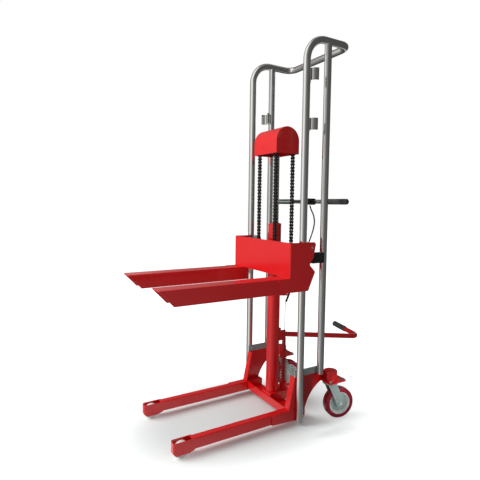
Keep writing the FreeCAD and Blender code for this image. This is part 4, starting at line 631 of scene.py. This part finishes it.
# %% cylinder, seal and ram
UP = (0.0, 0.0, 1.0)
MIDDLE = (0.0, MAST_Y, 0.0)
RAM = 18 * MM
BORE = 25 * MM
RUNNING_GAP = 0.05 * MM
GLAND = 28 * MM
RIM = 3 * MM
BASE = 12 * MM
PISTON = 24 * MM
NOTCH_HALF, NOTCH_FLOOR, NOTCH_DEPTH = 2 * MM, 1 * MM, 1.2 * MM
SEAL_SIDE = [(0.0, 0.3), (0.0, 6.0), (2.5, 5.0), (4.0, 0.3)]
cylinder_low, cylinder_high, _ = box_of("lift_cylinder")
CYLINDER = (cylinder_high[0] - cylinder_low[0]) / 2
foot_z = cylinder_low[2]
top_z = cylinder_high[2]
notch_z = top_z - GLAND
barrel = [
    (foot_z, 0.0),
    (foot_z, CYLINDER),
    (notch_z - NOTCH_HALF, CYLINDER),
    (notch_z - NOTCH_FLOOR, CYLINDER - NOTCH_DEPTH),
    (notch_z + NOTCH_FLOOR, CYLINDER - NOTCH_DEPTH),
    (notch_z + NOTCH_HALF, CYLINDER),
    (top_z - RIM, CYLINDER),
    (top_z, CYLINDER - RIM),
    (top_z, RAM + RUNNING_GAP),
    (notch_z, RAM + RUNNING_GAP),
    (notch_z, BORE),
    (foot_z + BASE, BORE),
    (foot_z + BASE, 0.0),
]
stand_in("lift_cylinder", turned(barrel, MIDDLE, UP, sides=96))
seal = turned(np.array(SEAL_SIDE) * MM + (0.0, RAM), (0.0, MAST_Y, top_z), UP, sides=64, closed=True)
extra("wiper_seal", seal, "chassis", "black_rubber")
ram_low, ram_high, _ = box_of("ram_rod")
rod = [
    (ram_low[2], 0.0),
    (ram_low[2], BORE - RUNNING_GAP),
    (ram_low[2] + PISTON, BORE - RUNNING_GAP),
    (ram_low[2] + PISTON, RAM),
    (ram_high[2], RAM),
    (ram_high[2], 0.0),
]
stand_in("ram_rod", turned(rod, MIDDLE, UP, sides=80))
print(f"cylinder {2 * CYLINDER / MM:.0f} mm, ram {2 * RAM / MM:.0f} mm")

# %% [markdown]
# ## Roller chains
# Each chain is inner and outer plates by turns, with a pin and roller at every joint. A link's plate is a
# strip whose half width w runs along it: round ends, and a waist between the pins,
# w = h - (h - q) cos^2(pi s / p). One plate is worked out, then set at all links at once by adding arrays. On a
# lift the runs get longer and shorter while the wraps stay, so each run is put on neither of the bodies at its
# ends.

# %% link plates
PITCH = 15.875 * MM
LINK_HALF = 7.5 * MM
LINK_WAIST = 3.0 * MM
LINK_TIP = 0.3 * MM
LINK_SHEET = 2.0 * MM
LINK_GAP = 0.2 * MM
LINK_INSIDE = 4.7 * MM
LINK_STEPS = np.array([-1.0, -0.9, -0.72, -0.5, -0.25, 0.0, 0.25, 0.5, 0.72, 0.9, 1.0])
X_WAY = np.array([1.0, 0.0, 0.0])


def copies(grid_points, faces, count):
    """Faces of several equal grids that follow each other in one list of points."""
    starts = np.arange(count)[:, None, None] * grid_points
    return (faces[None] + starts).reshape(-1, 4)


def closed_strip(rows):
    """Faces of a four-cornered strip with both ends closed."""
    ends = np.array([[0, 1, 2, 3], [0, 1, 2, 3]]) + np.array([[0], [(rows - 1) * 4]])
    return np.concatenate([grid_faces(rows, 4, False, True), ends])


def link_plates(pins, first_outer):
    """Both plates of every link: P = middle + s along + w side + x across."""
    along = unit(pins[1:] - pins[:-1])
    side = np.cross(along, X_WAY)
    middle = (pins[1:] + pins[:-1]) / 2
    s = LINK_STEPS * (PITCH / 2 + LINK_HALF)
    past_pin = np.clip(np.abs(s) - PITCH / 2, 0.0, LINK_HALF)
    waist = LINK_HALF - (LINK_HALF - LINK_WAIST) * np.cos(math.pi * s / PITCH) ** 2
    w = np.where(np.abs(s) < PITCH / 2, waist, np.sqrt(LINK_HALF ** 2 - past_pin ** 2))
    w = np.maximum(w, LINK_TIP)
    outer = (np.arange(len(middle)) % 2 == 0) == first_outer
    near = LINK_INSIDE + np.where(outer, LINK_SHEET + LINK_GAP, 0.0)
    ring_w = np.array([1.0, 1.0, -1.0, -1.0])
    ring_x = np.array([0.0, 1.0, 1.0, 0.0]) * LINK_SHEET
    x = np.stack([near[:, None] + ring_x, -near[:, None] - ring_x], axis=1)
    points = (
        middle[:, None, None, None]
        + (s[:, None, None] * along[:, None, None, None])
        + (w[:, None, None] * ring_w[:, None]) * side[:, None, None, None]
        + x[:, :, None, :, None] * X_WAY
    )
    return points.reshape(-1, 3), copies(len(s) * 4, closed_strip(len(s)), len(middle) * 2)


print("a link's plate has", len(closed_strip(len(LINK_STEPS))), "faces")

# %% pins, rollers and whole chains
CHAIN_ROLLER = 5.05 * MM
CHAIN_PIN = 2.6 * MM
PIN_END = 0.6 * MM
CHAIN_X = 71 * MM


def pin_rollers(pins):
    """A roller with its pin at every joint, turned about the chain's width."""
    tip = LINK_INSIDE + 2 * (LINK_SHEET + LINK_GAP) + PIN_END
    half = LINK_INSIDE - LINK_GAP
    profile = mirrored([(tip, 0.0), (tip, CHAIN_PIN), (half, CHAIN_PIN), (half, CHAIN_ROLLER)])
    points, faces = turned(profile, (0.0, 0.0, 0.0), X_WAY, sides=10)
    return (pins[:, None] + points[None]).reshape(-1, 3), copies(len(points), faces, len(pins))


def chain(middle_pins, first_outer):
    """The same chain on both sides of the ram, from pins in the middle plane."""
    both = [middle_pins + X_WAY * (CHAIN_X * side) for _, side in SIDES]
    plates = [link_plates(pins, first_outer) for pins in both]
    rollers = [pin_rollers(pins) for pins in both]
    return joined(*plates, *rollers)


print(f"chains {2 * CHAIN_X / MM:.0f} mm apart")

# %% chain runs and wraps
FRONT_LINKS, REAR_LINKS, WRAP_LINKS = 37, 33, 10
HEAD_Z = axle_of("pulley_spin_left")[0][2]
CHAIN_RADIUS = PITCH / (2 * math.sin(math.pi / (2 * WRAP_LINKS)))
drop = np.arange(FRONT_LINKS + 1)[:, None] * np.array([0.0, 0.0, -PITCH])
front_pins = np.array([0.0, MAST_Y - CHAIN_RADIUS, HEAD_Z]) + drop
rear_pins = np.array([0.0, MAST_Y + CHAIN_RADIUS, HEAD_Z]) + drop[:REAR_LINKS + 1]
turn = np.linspace(math.pi, 0.0, WRAP_LINKS + 1)[:, None]
around = np.concatenate([turn * 0, np.cos(turn), np.sin(turn)], axis=1)
wrap_pins = np.array([0.0, MAST_Y, HEAD_Z]) + CHAIN_RADIUS * around
stand_in("chain_wraps", chain(wrap_pins, False))
for node, pins, first_outer, anchor in (
    ("front_chains", front_pins, True, "carriage"),
    ("rear_chains", rear_pins, False, "chassis"),
):
    mesh = mesh_from(node, chain(pins, first_outer))
    run = shown(f"{node}_links", mesh, None, slot_of[node], [node])
    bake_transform(run)
    print(node, len(pins) - 1, "links a side,", len(mesh.polygons), "faces")

# %% [markdown]
# ## Handle bar and grips
# The bar is a plain chrome tube. Its grips are black rubber, pushed on, with shallow rings for the hands:
# r(x) = R - d c^4, where c goes from 0 to 1 and back as a cosine wave, once for each ring. The outer end is
# rounded.

# %% handle bar and grips
GRIP_RINGS = 20
GRIP_ROUND = 8 * MM
RING_DEPTH = 0.7 * MM
RING_STEPS = 8
END_STEPS = 8
END_WALL = 4 * MM
LIP = 1 * MM
PUSH_FIT = 0.1 * MM
bar_low, bar_high, bar = box_of("handle_bar")
BAR = (bar_high[2] - bar_low[2]) / 2
bar_ends = [(x, bar[1], bar[2]) for x in (bar_low[0], bar_high[0])]
stand_in("handle_bar", tube(bar_ends, BAR, sides=48))


def ringed(length, radius, inside, end_round, rings):
    """Profile of a ringed sleeve, closed at its far end, x from 0 to its length. It starts inside that end,
    comes out along the bore, round a small lip, back along the rings and over a quarter circle."""
    hollow = [(length - END_WALL, 0.0), (length - END_WALL, inside), (0.0, inside)]
    lip = [(0.0, radius - LIP), (LIP, radius)]
    x = np.linspace(2 * LIP, length - end_round - LIP, rings * RING_STEPS)
    wave = np.cos(np.linspace(0.0, 2 * math.pi * rings, rings * RING_STEPS)) * 0.5 + 0.5
    side = np.column_stack([x, radius - RING_DEPTH * (1 - wave) ** 4])
    angle = np.linspace(0.0, math.pi / 2, END_STEPS)
    end_x = length - end_round + end_round * np.sin(angle)
    end_r = radius - end_round + end_round * np.cos(angle)
    return np.concatenate([hollow, lip, side, np.column_stack([end_x, end_r]), [(length, 0.0)]])


for name, side in SIDES:
    low, high, grip = box_of(f"grip_{name}")
    root_x = low[0] if side > 0 else high[0]
    radius = (high[2] - low[2]) / 2
    profile = ringed(high[0] - low[0], radius, BAR + PUSH_FIT, GRIP_ROUND, GRIP_RINGS)
    stand_in(f"grip_{name}", turned(profile, (root_x, grip[1], grip[2]), (side, 0.0, 0.0), sides=64))
print("handle bar and two grips of", GRIP_RINGS, "rings made")

# %% [markdown]
# ## Release cable
# A black cable hangs from the clamp on the handle bar in one loose bow and ends in a ferrule on the cylinder, with
# a bare wire down to the pump. Its route repeats the CAD model's points, a few of them moved to follow the bow in
# the picture, and a NURBS spline with these control points gives the easy bends of real cable. The tube follows
# points read back from the spline.

# %% cable
CABLE = 3.5 * MM
CABLE_ROUTE = np.array([
    (36, 197, 1049),
    (39, 202, 1027),
    (46, 216, 1000),
    (51, 220, 956),
    (50, 206, 904),
    (47, 183, 848),
    (42, 157, 792),
    (38, 132, 738),
    (37, 110, 684),
    (37, 93, 640),
    (36, 80, 610),
]) * MM + (0.0, MAST_Y, 0.0)


def spline_points(name, route):
    """Points along a NURBS spline with the route's points as its control points."""
    curve = bpy.data.curves.new(name, "CURVE")
    curve.dimensions = "3D"
    curve.resolution_u = 10
    spline = curve.splines.new("NURBS")
    spline.points.add(len(route) - 1)
    spline.points.foreach_set("co", np.column_stack([route, np.ones(len(route))]).ravel())
    spline.order_u = 3
    spline.use_endpoint_u = True
    holder = bpy.data.objects.new(name, curve)
    line = bpy.data.meshes.new_from_object(holder)
    points = np.empty(len(line.vertices) * 3)
    line.vertices.foreach_get("co", points)
    bpy.data.objects.remove(holder)
    bpy.data.curves.remove(curve)
    bpy.data.meshes.remove(line)
    return points.reshape(-1, 3)


cable_line = spline_points("cable_line", CABLE_ROUTE)
stand_in("release_cable", tube(cable_line, CABLE, sides=24))
cable_length = np.linalg.norm(np.diff(cable_line, axis=0), axis=1).sum()
print(f"cable {cable_length / MM:.0f} mm long")

# %% [markdown]
# The ferrule is a short black sleeve, crimped in two places. It could be a plain tube, but the crimps catch
# the light, so it is turned from a profile. A crimp is a bell curve taken off the radius,
# r(x) = R (1 - d exp(-((x - c) / b)^2)). The wire follows a spline of its own.

# %% ferrule and wire
FERRULE = 5.5 * MM
FERRULE_LENGTH = 64 * MM
CRIMPS = (14 * MM, 50 * MM)
CRIMP_WIDTH = 2.5 * MM
CRIMP_DEPTH = 0.22
WIRE = 1.5 * MM
WIRE_EDGE = 0.2 * MM
WIRE_BEND = 2 * FERRULE
ferrule_top = CABLE_ROUTE[-1]
cable_way = unit(CABLE_ROUTE[-1] - CABLE_ROUTE[-2])
along = np.linspace(0.0, FERRULE_LENGTH, 60)
crimped = sum(np.exp(-((along - place) / CRIMP_WIDTH) ** 2) for place in CRIMPS)
shell_side = np.column_stack([along, FERRULE * (1 - CRIMP_DEPTH * crimped)])
shell_profile = np.concatenate([[(0.0, 0.0)], shell_side, [(FERRULE_LENGTH, 0.0)]])
shell = turned(shell_profile, ferrule_top, cable_way, sides=32)
wire_top = ferrule_top + cable_way * FERRULE_LENGTH
wire_bend = wire_top + cable_way * WIRE_BEND
wire_foot = np.array([wire_bend[0], wire_bend[1], box_of("cable_ferrule")[0][2]])
wire_route = [wire_top, wire_bend, wire_bend - np.array(UP) * WIRE_BEND, wire_foot]
wire = tube(spline_points("wire_line", wire_route), WIRE, sides=12, edge=WIRE_EDGE)
stand_in("cable_ferrule", joined(shell, wire))
print(f"ferrule {FERRULE_LENGTH / MM:.0f} mm long, wire down to {wire_foot[2]:.3f} m")

# %% [markdown]
# ## Pump spring and pedal
# The return spring is a helix, C(t) = (R cos t, R sin t, z + p t / 2 pi), and it is put on no body, since its top
# goes down with the plunger. The pedal is a bent tube with a boss on its pivot and a ringed black sleeve for the
# foot, made with the same function as the grips.

# %% spring
SPRING_TURNS = 9
TURN_STEPS = 40
SPRING_WIRE = 2 * MM
PLUNGER_Y = MAST_Y + 72 * MM
spring_low, spring_high, _ = box_of("pump_spring")
spring_radius = (spring_high[0] - spring_low[0]) / 2 - SPRING_WIRE
angle = np.linspace(0.0, 2 * math.pi * SPRING_TURNS, SPRING_TURNS * TURN_STEPS + 1)
rise = np.linspace(spring_low[2] + SPRING_WIRE, spring_high[2] - SPRING_WIRE, len(angle))
helix = np.column_stack([spring_radius * np.cos(angle), PLUNGER_Y + spring_radius * np.sin(angle), rise])
mesh = mesh_from("pump_spring", tube(helix, SPRING_WIRE, sides=14))
coil = shown("pump_spring_coil", mesh, None, slot_of["pump_spring"], ["pump_spring"])
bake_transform(coil)
print("spring of", SPRING_TURNS, "turns made")

# %% pedal arm and sleeve
PEDAL_TUBE = 13 * MM
PEDAL_ROUND = 34 * MM
PEDAL_BEND = np.array([105, 514, 321]) * MM + (0.0, MAST_Y, 0.0)
PEDAL_END = np.array([-89, 514, 345]) * MM + (0.0, MAST_Y, 0.0)
BOSS_HALF = [(17.0, 7.05), (17.0, 16.0)]
BOSS_ROUNDS = [0.8, 0.8]
SLEEVE = 15.5 * MM
SLEEVE_LENGTH = 94 * MM
SLEEVE_ROUND = 4 * MM
SLEEVE_RINGS = 12
pivot, pivot_axis = axle_of("pedal_press")
arm = tube(rounded([pivot, PEDAL_BEND, PEDAL_END], PEDAL_ROUND, 16), PEDAL_TUBE, sides=48)
boss = turned(wheel_profile(BOSS_HALF, BOSS_ROUNDS, 4), pivot, pivot_axis, sides=64, closed=True)
stand_in("pedal_arm", joined(arm, boss))
sleeve_way = unit(PEDAL_END - PEDAL_BEND)
sleeve_root = PEDAL_END + sleeve_way * (END_WALL - SLEEVE_LENGTH)
sleeve = ringed(SLEEVE_LENGTH, SLEEVE, PEDAL_TUBE + PUSH_FIT, SLEEVE_ROUND, SLEEVE_RINGS)
stand_in("pedal_sleeve", turned(sleeve, sleeve_root, sleeve_way, sides=64))
print("pedal arm and a sleeve of", SLEEVE_RINGS, "rings made")

# %% [markdown]
# ## Weld beads
# Sheet and tube are welded, and the beads show at the seams. A bead is a thin bar whose radius swells at
# every step of the torch, r(s) = R (0.86 + 0.14 |sin s|). Half of it lies inside the metal.

# %% beads
BEAD = 2.6 * MM
WIDE_BEAD = 4.0 * MM
BEAD_STEP = 1.0 * MM


def rippled(path, radius):
    """A bar along a path, r(s) = R (0.86 + 0.14 |sin s|), with one ripple for every four points."""
    ripple = 0.86 + 0.14 * np.abs(np.sin(np.arange(len(path)) * math.pi / 4))
    return tube(path, radius * ripple, sides=10, edge=radius / 3)


def bead(start, end, radius=BEAD):
    """A rippled bead along a straight seam."""
    start = np.asarray(start, float)
    end = np.asarray(end, float)
    count = int(np.linalg.norm(end - start) / BEAD_STEP) + 2
    return rippled(start + (end - start) * np.linspace(0.0, 1.0, count)[:, None], radius)


def ring_bead(centre, reach, radius=BEAD):
    """A rippled bead round an upright tube."""
    turn = np.linspace(0.0, 2 * math.pi, int(2 * math.pi * reach / BEAD_STEP))
    circle = np.column_stack([reach * np.cos(turn), reach * np.sin(turn), turn * 0])
    return rippled(np.asarray(centre) + circle, radius)


def x_faces(node, side):
    """The x of a node's inner and outer face, on the side that a sign gives."""
    inner, outer = sorted(abs(corner[0]) for corner in box_of(node)[:2])
    return inner * side, outer * side


print(f"beads {2 * BEAD / MM:.1f} and {2 * WIDE_BEAD / MM:.1f} mm wide")

# %% welds
CASTER_PLATE_Z = 195 * MM
LEG_SEAM_START = 40 * MM
LEG_SEAM_END = 50 * MM
CASTER_SEAM_END = 4 * MM
TUBE_SEAM = 1 * MM
CHEEK_SEAM_END = 6 * MM
beam_top = box_of("cross_beam")[1][2]
carriage_low = box_of("carriage_frame")[0]
chassis_beads = [ring_bead((0.0, MAST_Y, beam_top), CYLINDER, WIDE_BEAD)]
carriage_beads = []
for name, side in SIDES:
    _, leg_outer = x_faces(f"leg_{name}", side)
    leg_top = box_of(f"leg_{name}")[1][2]
    side_low, side_high, _ = box_of(f"side_plate_{name}")
    mount_low, mount_high, _ = box_of(f"caster_mount_{name}")
    caster_x = side_high[0] if side > 0 else leg_outer
    leg_seam = [(leg_outer, y, leg_top) for y in (side_low[1] + LEG_SEAM_START, MAST_Y - LEG_SEAM_END)]
    caster_ys = (mount_low[1] + CASTER_SEAM_END, mount_high[1] - CASTER_SEAM_END)
    caster_seam = [(caster_x, y, CASTER_PLATE_Z) for y in caster_ys]
    tube_foot = (TUBE_X * side, REAR_Y, upright_low[2] + TUBE_SEAM)
    chassis_beads += [bead(*leg_seam), bead(*caster_seam), ring_bead(tube_foot, TUBE - TUBE_SEAM)]
    fork_inner, fork_outer = x_faces(f"fork_{name}", side)
    fork_high = box_of(f"fork_{name}")[1]
    heel_seam = [(x, fork_high[1], fork_high[2]) for x in (fork_inner, fork_outer)]
    cheek_seam = [(fork_outer, carriage_low[1], z) for z in (carriage_low[2], fork_high[2] - CHEEK_SEAM_END)]
    carriage_beads += [bead(*heel_seam), bead(*cheek_seam, WIDE_BEAD)]
extra("chassis_welds", joined(*chassis_beads), "chassis", "red_paint")
extra("carriage_welds", joined(*carriage_beads), "carriage", "red_paint")
print(len(chassis_beads) + len(carriage_beads), "weld beads")

# %% [markdown]
# ## Bolts and axle caps
# Zinc bolts hold the tie strips and the caster plates. A hexagon head is a turned profile with only six steps
# round its axis, on a round washer. The wheel axles end in domed caps on the outer faces of the casters' forks, x
# = h sin a and r = R cos^0.7 a. The caps are white, a painted highlight that stands for the glint of bright metal
# axle nuts.

# %% bolts and caps
# shares of the head's height, and of its width across the flats or the corners
WASHER_TOP = 0.25
WASHER_REACH = 0.75
CHAMFER_FOOT = 0.85
CHAMFER_REACH = 0.84


def bolt(seat, axis, flats, top):
    """A hexagon head, so wide across its flats, on a washer, with a chamfered top at a height above the
    seat."""
    corner = flats / math.sqrt(3)
    washer_top = WASHER_TOP * top
    washer_reach = flats * WASHER_REACH
    washer = [(0.0, 0.0), (0.0, washer_reach), (washer_top, washer_reach), (washer_top, 0.0)]
    sides = [(washer_top, 0.0), (washer_top, corner), (top * CHAMFER_FOOT, corner)]
    crown = [(top, corner * CHAMFER_REACH), (top, 0.0)]
    return joined(turned(washer, seat, axis, sides=32), turned(sides + crown, seat, axis, sides=6))


FLATS = 11 * MM
STRIP_HEAD = 7 * MM
CASTER_HEAD = 6 * MM
CASTER_EDGE = 11 * MM
FORK_FACE = 28 * MM
CAP = 11 * MM
CAP_HEIGHT = 4.3 * MM
arc = np.linspace(0.0, math.pi / 2, 10)
cap = np.column_stack([CAP_HEIGHT * np.sin(arc), CAP * np.cos(arc) ** 0.7])
strip_z = box_of("tie_strips")[2][2]
bolts = []
for name, side in SIDES:
    _, leg_outer = x_faces(f"leg_{name}", side)
    for y in (MAST_Y, REAR_Y):
        bolts.append(bolt((leg_outer, y, strip_z), (-side, 0.0, 0.0), FLATS, STRIP_HEAD))
    mount_low, mount_high, _ = box_of(f"caster_mount_{name}")
    low_x, high_x = mount_low[0] + CASTER_EDGE, mount_high[0] - CASTER_EDGE
    front_y, back_y = mount_low[1] + CASTER_EDGE, mount_high[1] - CASTER_EDGE
    for x, y in ((low_x, back_y), (high_x, back_y), (high_x, front_y)):
        bolts.append(bolt((x, y, CASTER_PLATE_Z), UP, FLATS, CASTER_HEAD))
    place, axis = axle_of(f"caster_roll_{name}")
    caps = [turned(cap, place + axis * way * FORK_FACE, axis * way, sides=48) for way in (1, -1)]
    # the caps' white is a painted highlight for the glint of bright metal axle nuts
    extra(f"white_glint_axle_caps_{name}", joined(*caps), f"caster_swivel_{name}", "white_nylon")
extra("plate_bolts", joined(*bolts), "chassis", "zinc")
print(len(bolts), "bolts on strips and caster plates made")

# %% [markdown]
# ## Floor
# The picture has a white ground with a soft grey shadow near the wheels and legs. A white floor under plain light
# still comes out pale grey, so it also glows a little for the camera. It glows weakly near the stacker, which
# leaves the floor there darker as painted shade besides the lamps' own shadow. It glows more further out, where
# the ground meets the white sky without a line.

# %% floor
FLOOR = 12.0
# an oval round the stacker where the floor glows less: painted shade on the floor
PAINTED_SHADE_SCALE = (1.5, 1.0, 1.0)
PAINTED_SHADE_SHIFT = (0.0, 0.13, 0.0)
PAINTED_SHADE_INNER, PAINTED_SHADE_OUTER = 0.30, 0.90
PAINTED_SHADE_GLOW, ADDED_GLOW = 0.06, 0.82


def sheet_of(name, points, faces, finish):
    """Puts a stage surface into the scene."""
    mesh = bpy.data.meshes.new(name)
    mesh.from_pydata(np.asarray(points).tolist(), [], np.asarray(faces).tolist())
    mesh.materials.append(finish)
    thing = added(name, mesh)
    return thing


def white_floor():
    """White that glows by 0.06 in an oval between the legs and by 0.88 outside it, to the camera and to mirrors,
    so the floor in the oval is darker: painted shade. It is a little short of red, since the red frame throws its
    own colour on it."""
    finish = Finish("white_floor")
    mapping = {"Vector": finish.place, "Location": PAINTED_SHADE_SHIFT, "Scale": PAINTED_SHADE_SCALE}
    oval = finish.node("ShaderNodeMapping", {}, mapping)
    distance = finish.node("ShaderNodeVectorMath", {"operation": "LENGTH"}, {0: oval}, output="Value")
    glow = PAINTED_SHADE_GLOW + ADDED_GLOW * finish.between(distance, PAINTED_SHADE_INNER, PAINTED_SHADE_OUTER)
    return finish.done({
        "Base Color": (0.76, 0.83, 0.82, 1.0),
        "Roughness": 0.9,
        "Specular IOR Level": 0.0,
        "Emission Color": (1.0, 1.0, 1.0, 1.0),
        "Emission Strength": glow * finish.seen(),
    })


floor_corners = [(-FLOOR, -FLOOR, 0.0), (FLOOR, -FLOOR, 0.0), (FLOOR, FLOOR, 0.0), (-FLOOR, FLOOR, 0.0)]
sheet_of("floor", floor_corners, [(0, 1, 2, 3)], white_floor())
print("floor", 2 * FLOOR, "m wide")

# %% [markdown]
# ## Screens
# Chrome shows what stands round it. In the picture each tube has a bright band on its left, grey in the
# middle and a dark band on its right, so the studio was bright at the front and dark behind. A ring of
# screens gives that: it is an oval wall with a foot on the floor and a roof. Its glow changes with the
# direction and with the height, since low down the front was dimmer, and only mirrors see it. Each row of the
# wall has its share of the oval, its height, its place between the low and the high glows, and a gain.

# %% wall of screens
SCREEN_X, SCREEN_Y = 0.70, 1.00
SCREEN_ROWS = (
    (0.36, 0.004, 0.0, 1.5),
    (1.0, 0.004, 0.0, 1.0),
    (1.0, 2.4, 1.0, 1.0),
    (0.6, 2.7, 1.0, 1.5),
    (0.1, 2.8, 1.0, 4.0),
)
DIRECTIONS = (-153, -125, -105, -69, -35, -1, 35, 83, 98, 104, 114, 120, 140, 165, 195, 207)
LOW_GLOWS = (0.22, 0.40, 0.62, 1.00, 0.35, 0.15, 0.09, 0.06, 0.05, 0.50, 0.50, 0.05, 0.05, 0.12, 0.18, 0.22)
HIGH_GLOWS = (0.75, 0.95, 1.00, 1.00, 0.30, 0.09, 0.07, 0.09, 0.07, 0.50, 0.50, 0.06, 0.06, 0.18, 0.40, 0.75)
direction = np.radians(np.linspace(DIRECTIONS[0], DIRECTIONS[-1], 90))
oval = np.column_stack([SCREEN_X * np.cos(direction), SCREEN_Y * np.sin(direction), direction * 0])
wall = np.concatenate([oval * share + np.array([0.0, 0.0, height]) for share, height, _, _ in SCREEN_ROWS])
wall_faces = grid_faces(len(SCREEN_ROWS), len(direction), False, False)
low_level = np.interp(np.degrees(direction), DIRECTIONS, LOW_GLOWS)
high_level = np.interp(np.degrees(direction), DIRECTIONS, HIGH_GLOWS)
row_levels = [gain * (low_level + (high_level - low_level) * share) for _, _, share, gain in SCREEN_ROWS]
wall_glow = np.minimum(np.concatenate(row_levels), 1.0)
print("screens from", DIRECTIONS[0], "to", DIRECTIONS[-1], "degrees")

# %% glow of the screens
screen_paint = Finish("screen_glow")
glow_here = screen_paint.node("ShaderNodeAttribute", {"attribute_name": "glow"}, output="Fac")
screen_finish = screen_paint.done({
    "Base Color": (0.0, 0.0, 0.0, 1.0),
    "Specular IOR Level": 0.0,
    "Emission Color": (1.0, 1.0, 1.0, 1.0),
    "Emission Strength": glow_here,
})
screens = sheet_of("screens", wall, wall_faces, screen_finish)
screens.data.attributes.new("glow", "FLOAT", "POINT").data.foreach_set("value", wall_glow)
screens.visible_camera = False
screens.visible_diffuse = False
screens.visible_shadow = False
print(f"screens glow from {wall_glow.min():.2f} to {wall_glow.max():.2f}")

# %% [markdown]
# ## Light
# One large lamp stands in front on the left, above the forks, and the world adds an even level, so faces to
# the front come out about as bright as their colour is written and faces to the side lie in shade. A small
# beam low on the right lifts the near caster out of that shade. The world is white to the camera and to
# mirrors, and dimmer as a light.

# %% lamps
KEY_PLACE, KEY_TARGET = (-1.2, -3.2, 3.0), (0.0, 0.0, 0.8)
KEY_WATTS, KEY_SIZE = 155.0, 2.4
LOW_PLACE, LOW_TARGET = (1.10, 0.40, 0.30), (0.26, 0.30, 0.14)
LOW_WATTS, LOW_SIZE, LOW_SPREAD = 0.052, 0.16, 15.0


def lamp(name, place, target, watts, size, spread=180.0):
    """A square lamp that faces a target, its light spread over an angle in degrees."""
    light = bpy.data.lights.new(name, "AREA")
    light.energy = watts
    light.size = size
    light.spread = math.radians(spread)
    thing = added(name, light)
    back = unit(np.array(place) - np.array(target))
    right = unit(np.cross(UP, back))
    set_axes(thing, right, np.cross(back, right), back, place)
    return thing


key = lamp("key_lamp", KEY_PLACE, KEY_TARGET, KEY_WATTS, KEY_SIZE)
key.visible_glossy = False
lamp("low_lamp", LOW_PLACE, LOW_TARGET, LOW_WATTS, LOW_SIZE, LOW_SPREAD)
print("lamps at", KEY_PLACE, "and", LOW_PLACE)

# %% world
AMBIENT = 0.27
sky = Finish("studio", bpy.data.worlds)
strength = AMBIENT + (1 - AMBIENT) * sky.seen()
backdrop = sky.node("ShaderNodeBackground", {}, {"Color": (1.0, 1.0, 1.0, 1.0), "Strength": strength})
sky.node("ShaderNodeOutputWorld", {}, {"Surface": backdrop})
bpy.context.scene.world = sky.owner
bpy.context.scene.view_settings.view_transform = "Standard"
print("a world of", AMBIENT)

# %% [markdown]
# ## Flag
# The near side plate is the darkest red in the picture. A black card beside it, seen by neither the camera
# nor mirrors, takes the studio's light off it, as a photographer's flag does.

# %% flag
FLAG_X = 0.315
FLAG_FRONT, FLAG_BACK = 0.04, 0.20
FLAG_FOOT, FLAG_TOP = 0.05, 0.24
flag_corners = [
    (FLAG_X, FLAG_FRONT, FLAG_FOOT),
    (FLAG_X, FLAG_BACK, FLAG_FOOT),
    (FLAG_X, FLAG_BACK, FLAG_TOP),
    (FLAG_X, FLAG_FRONT, FLAG_TOP),
]
black_card = Finish("black_card").done({"Base Color": (0.0, 0.0, 0.0, 1.0), "Specular IOR Level": 0.0})
flag = sheet_of("flag", flag_corners, [(0, 1, 2, 3)], black_card)
flag.visible_camera = False
flag.visible_glossy = False
print("flag at x", FLAG_X)
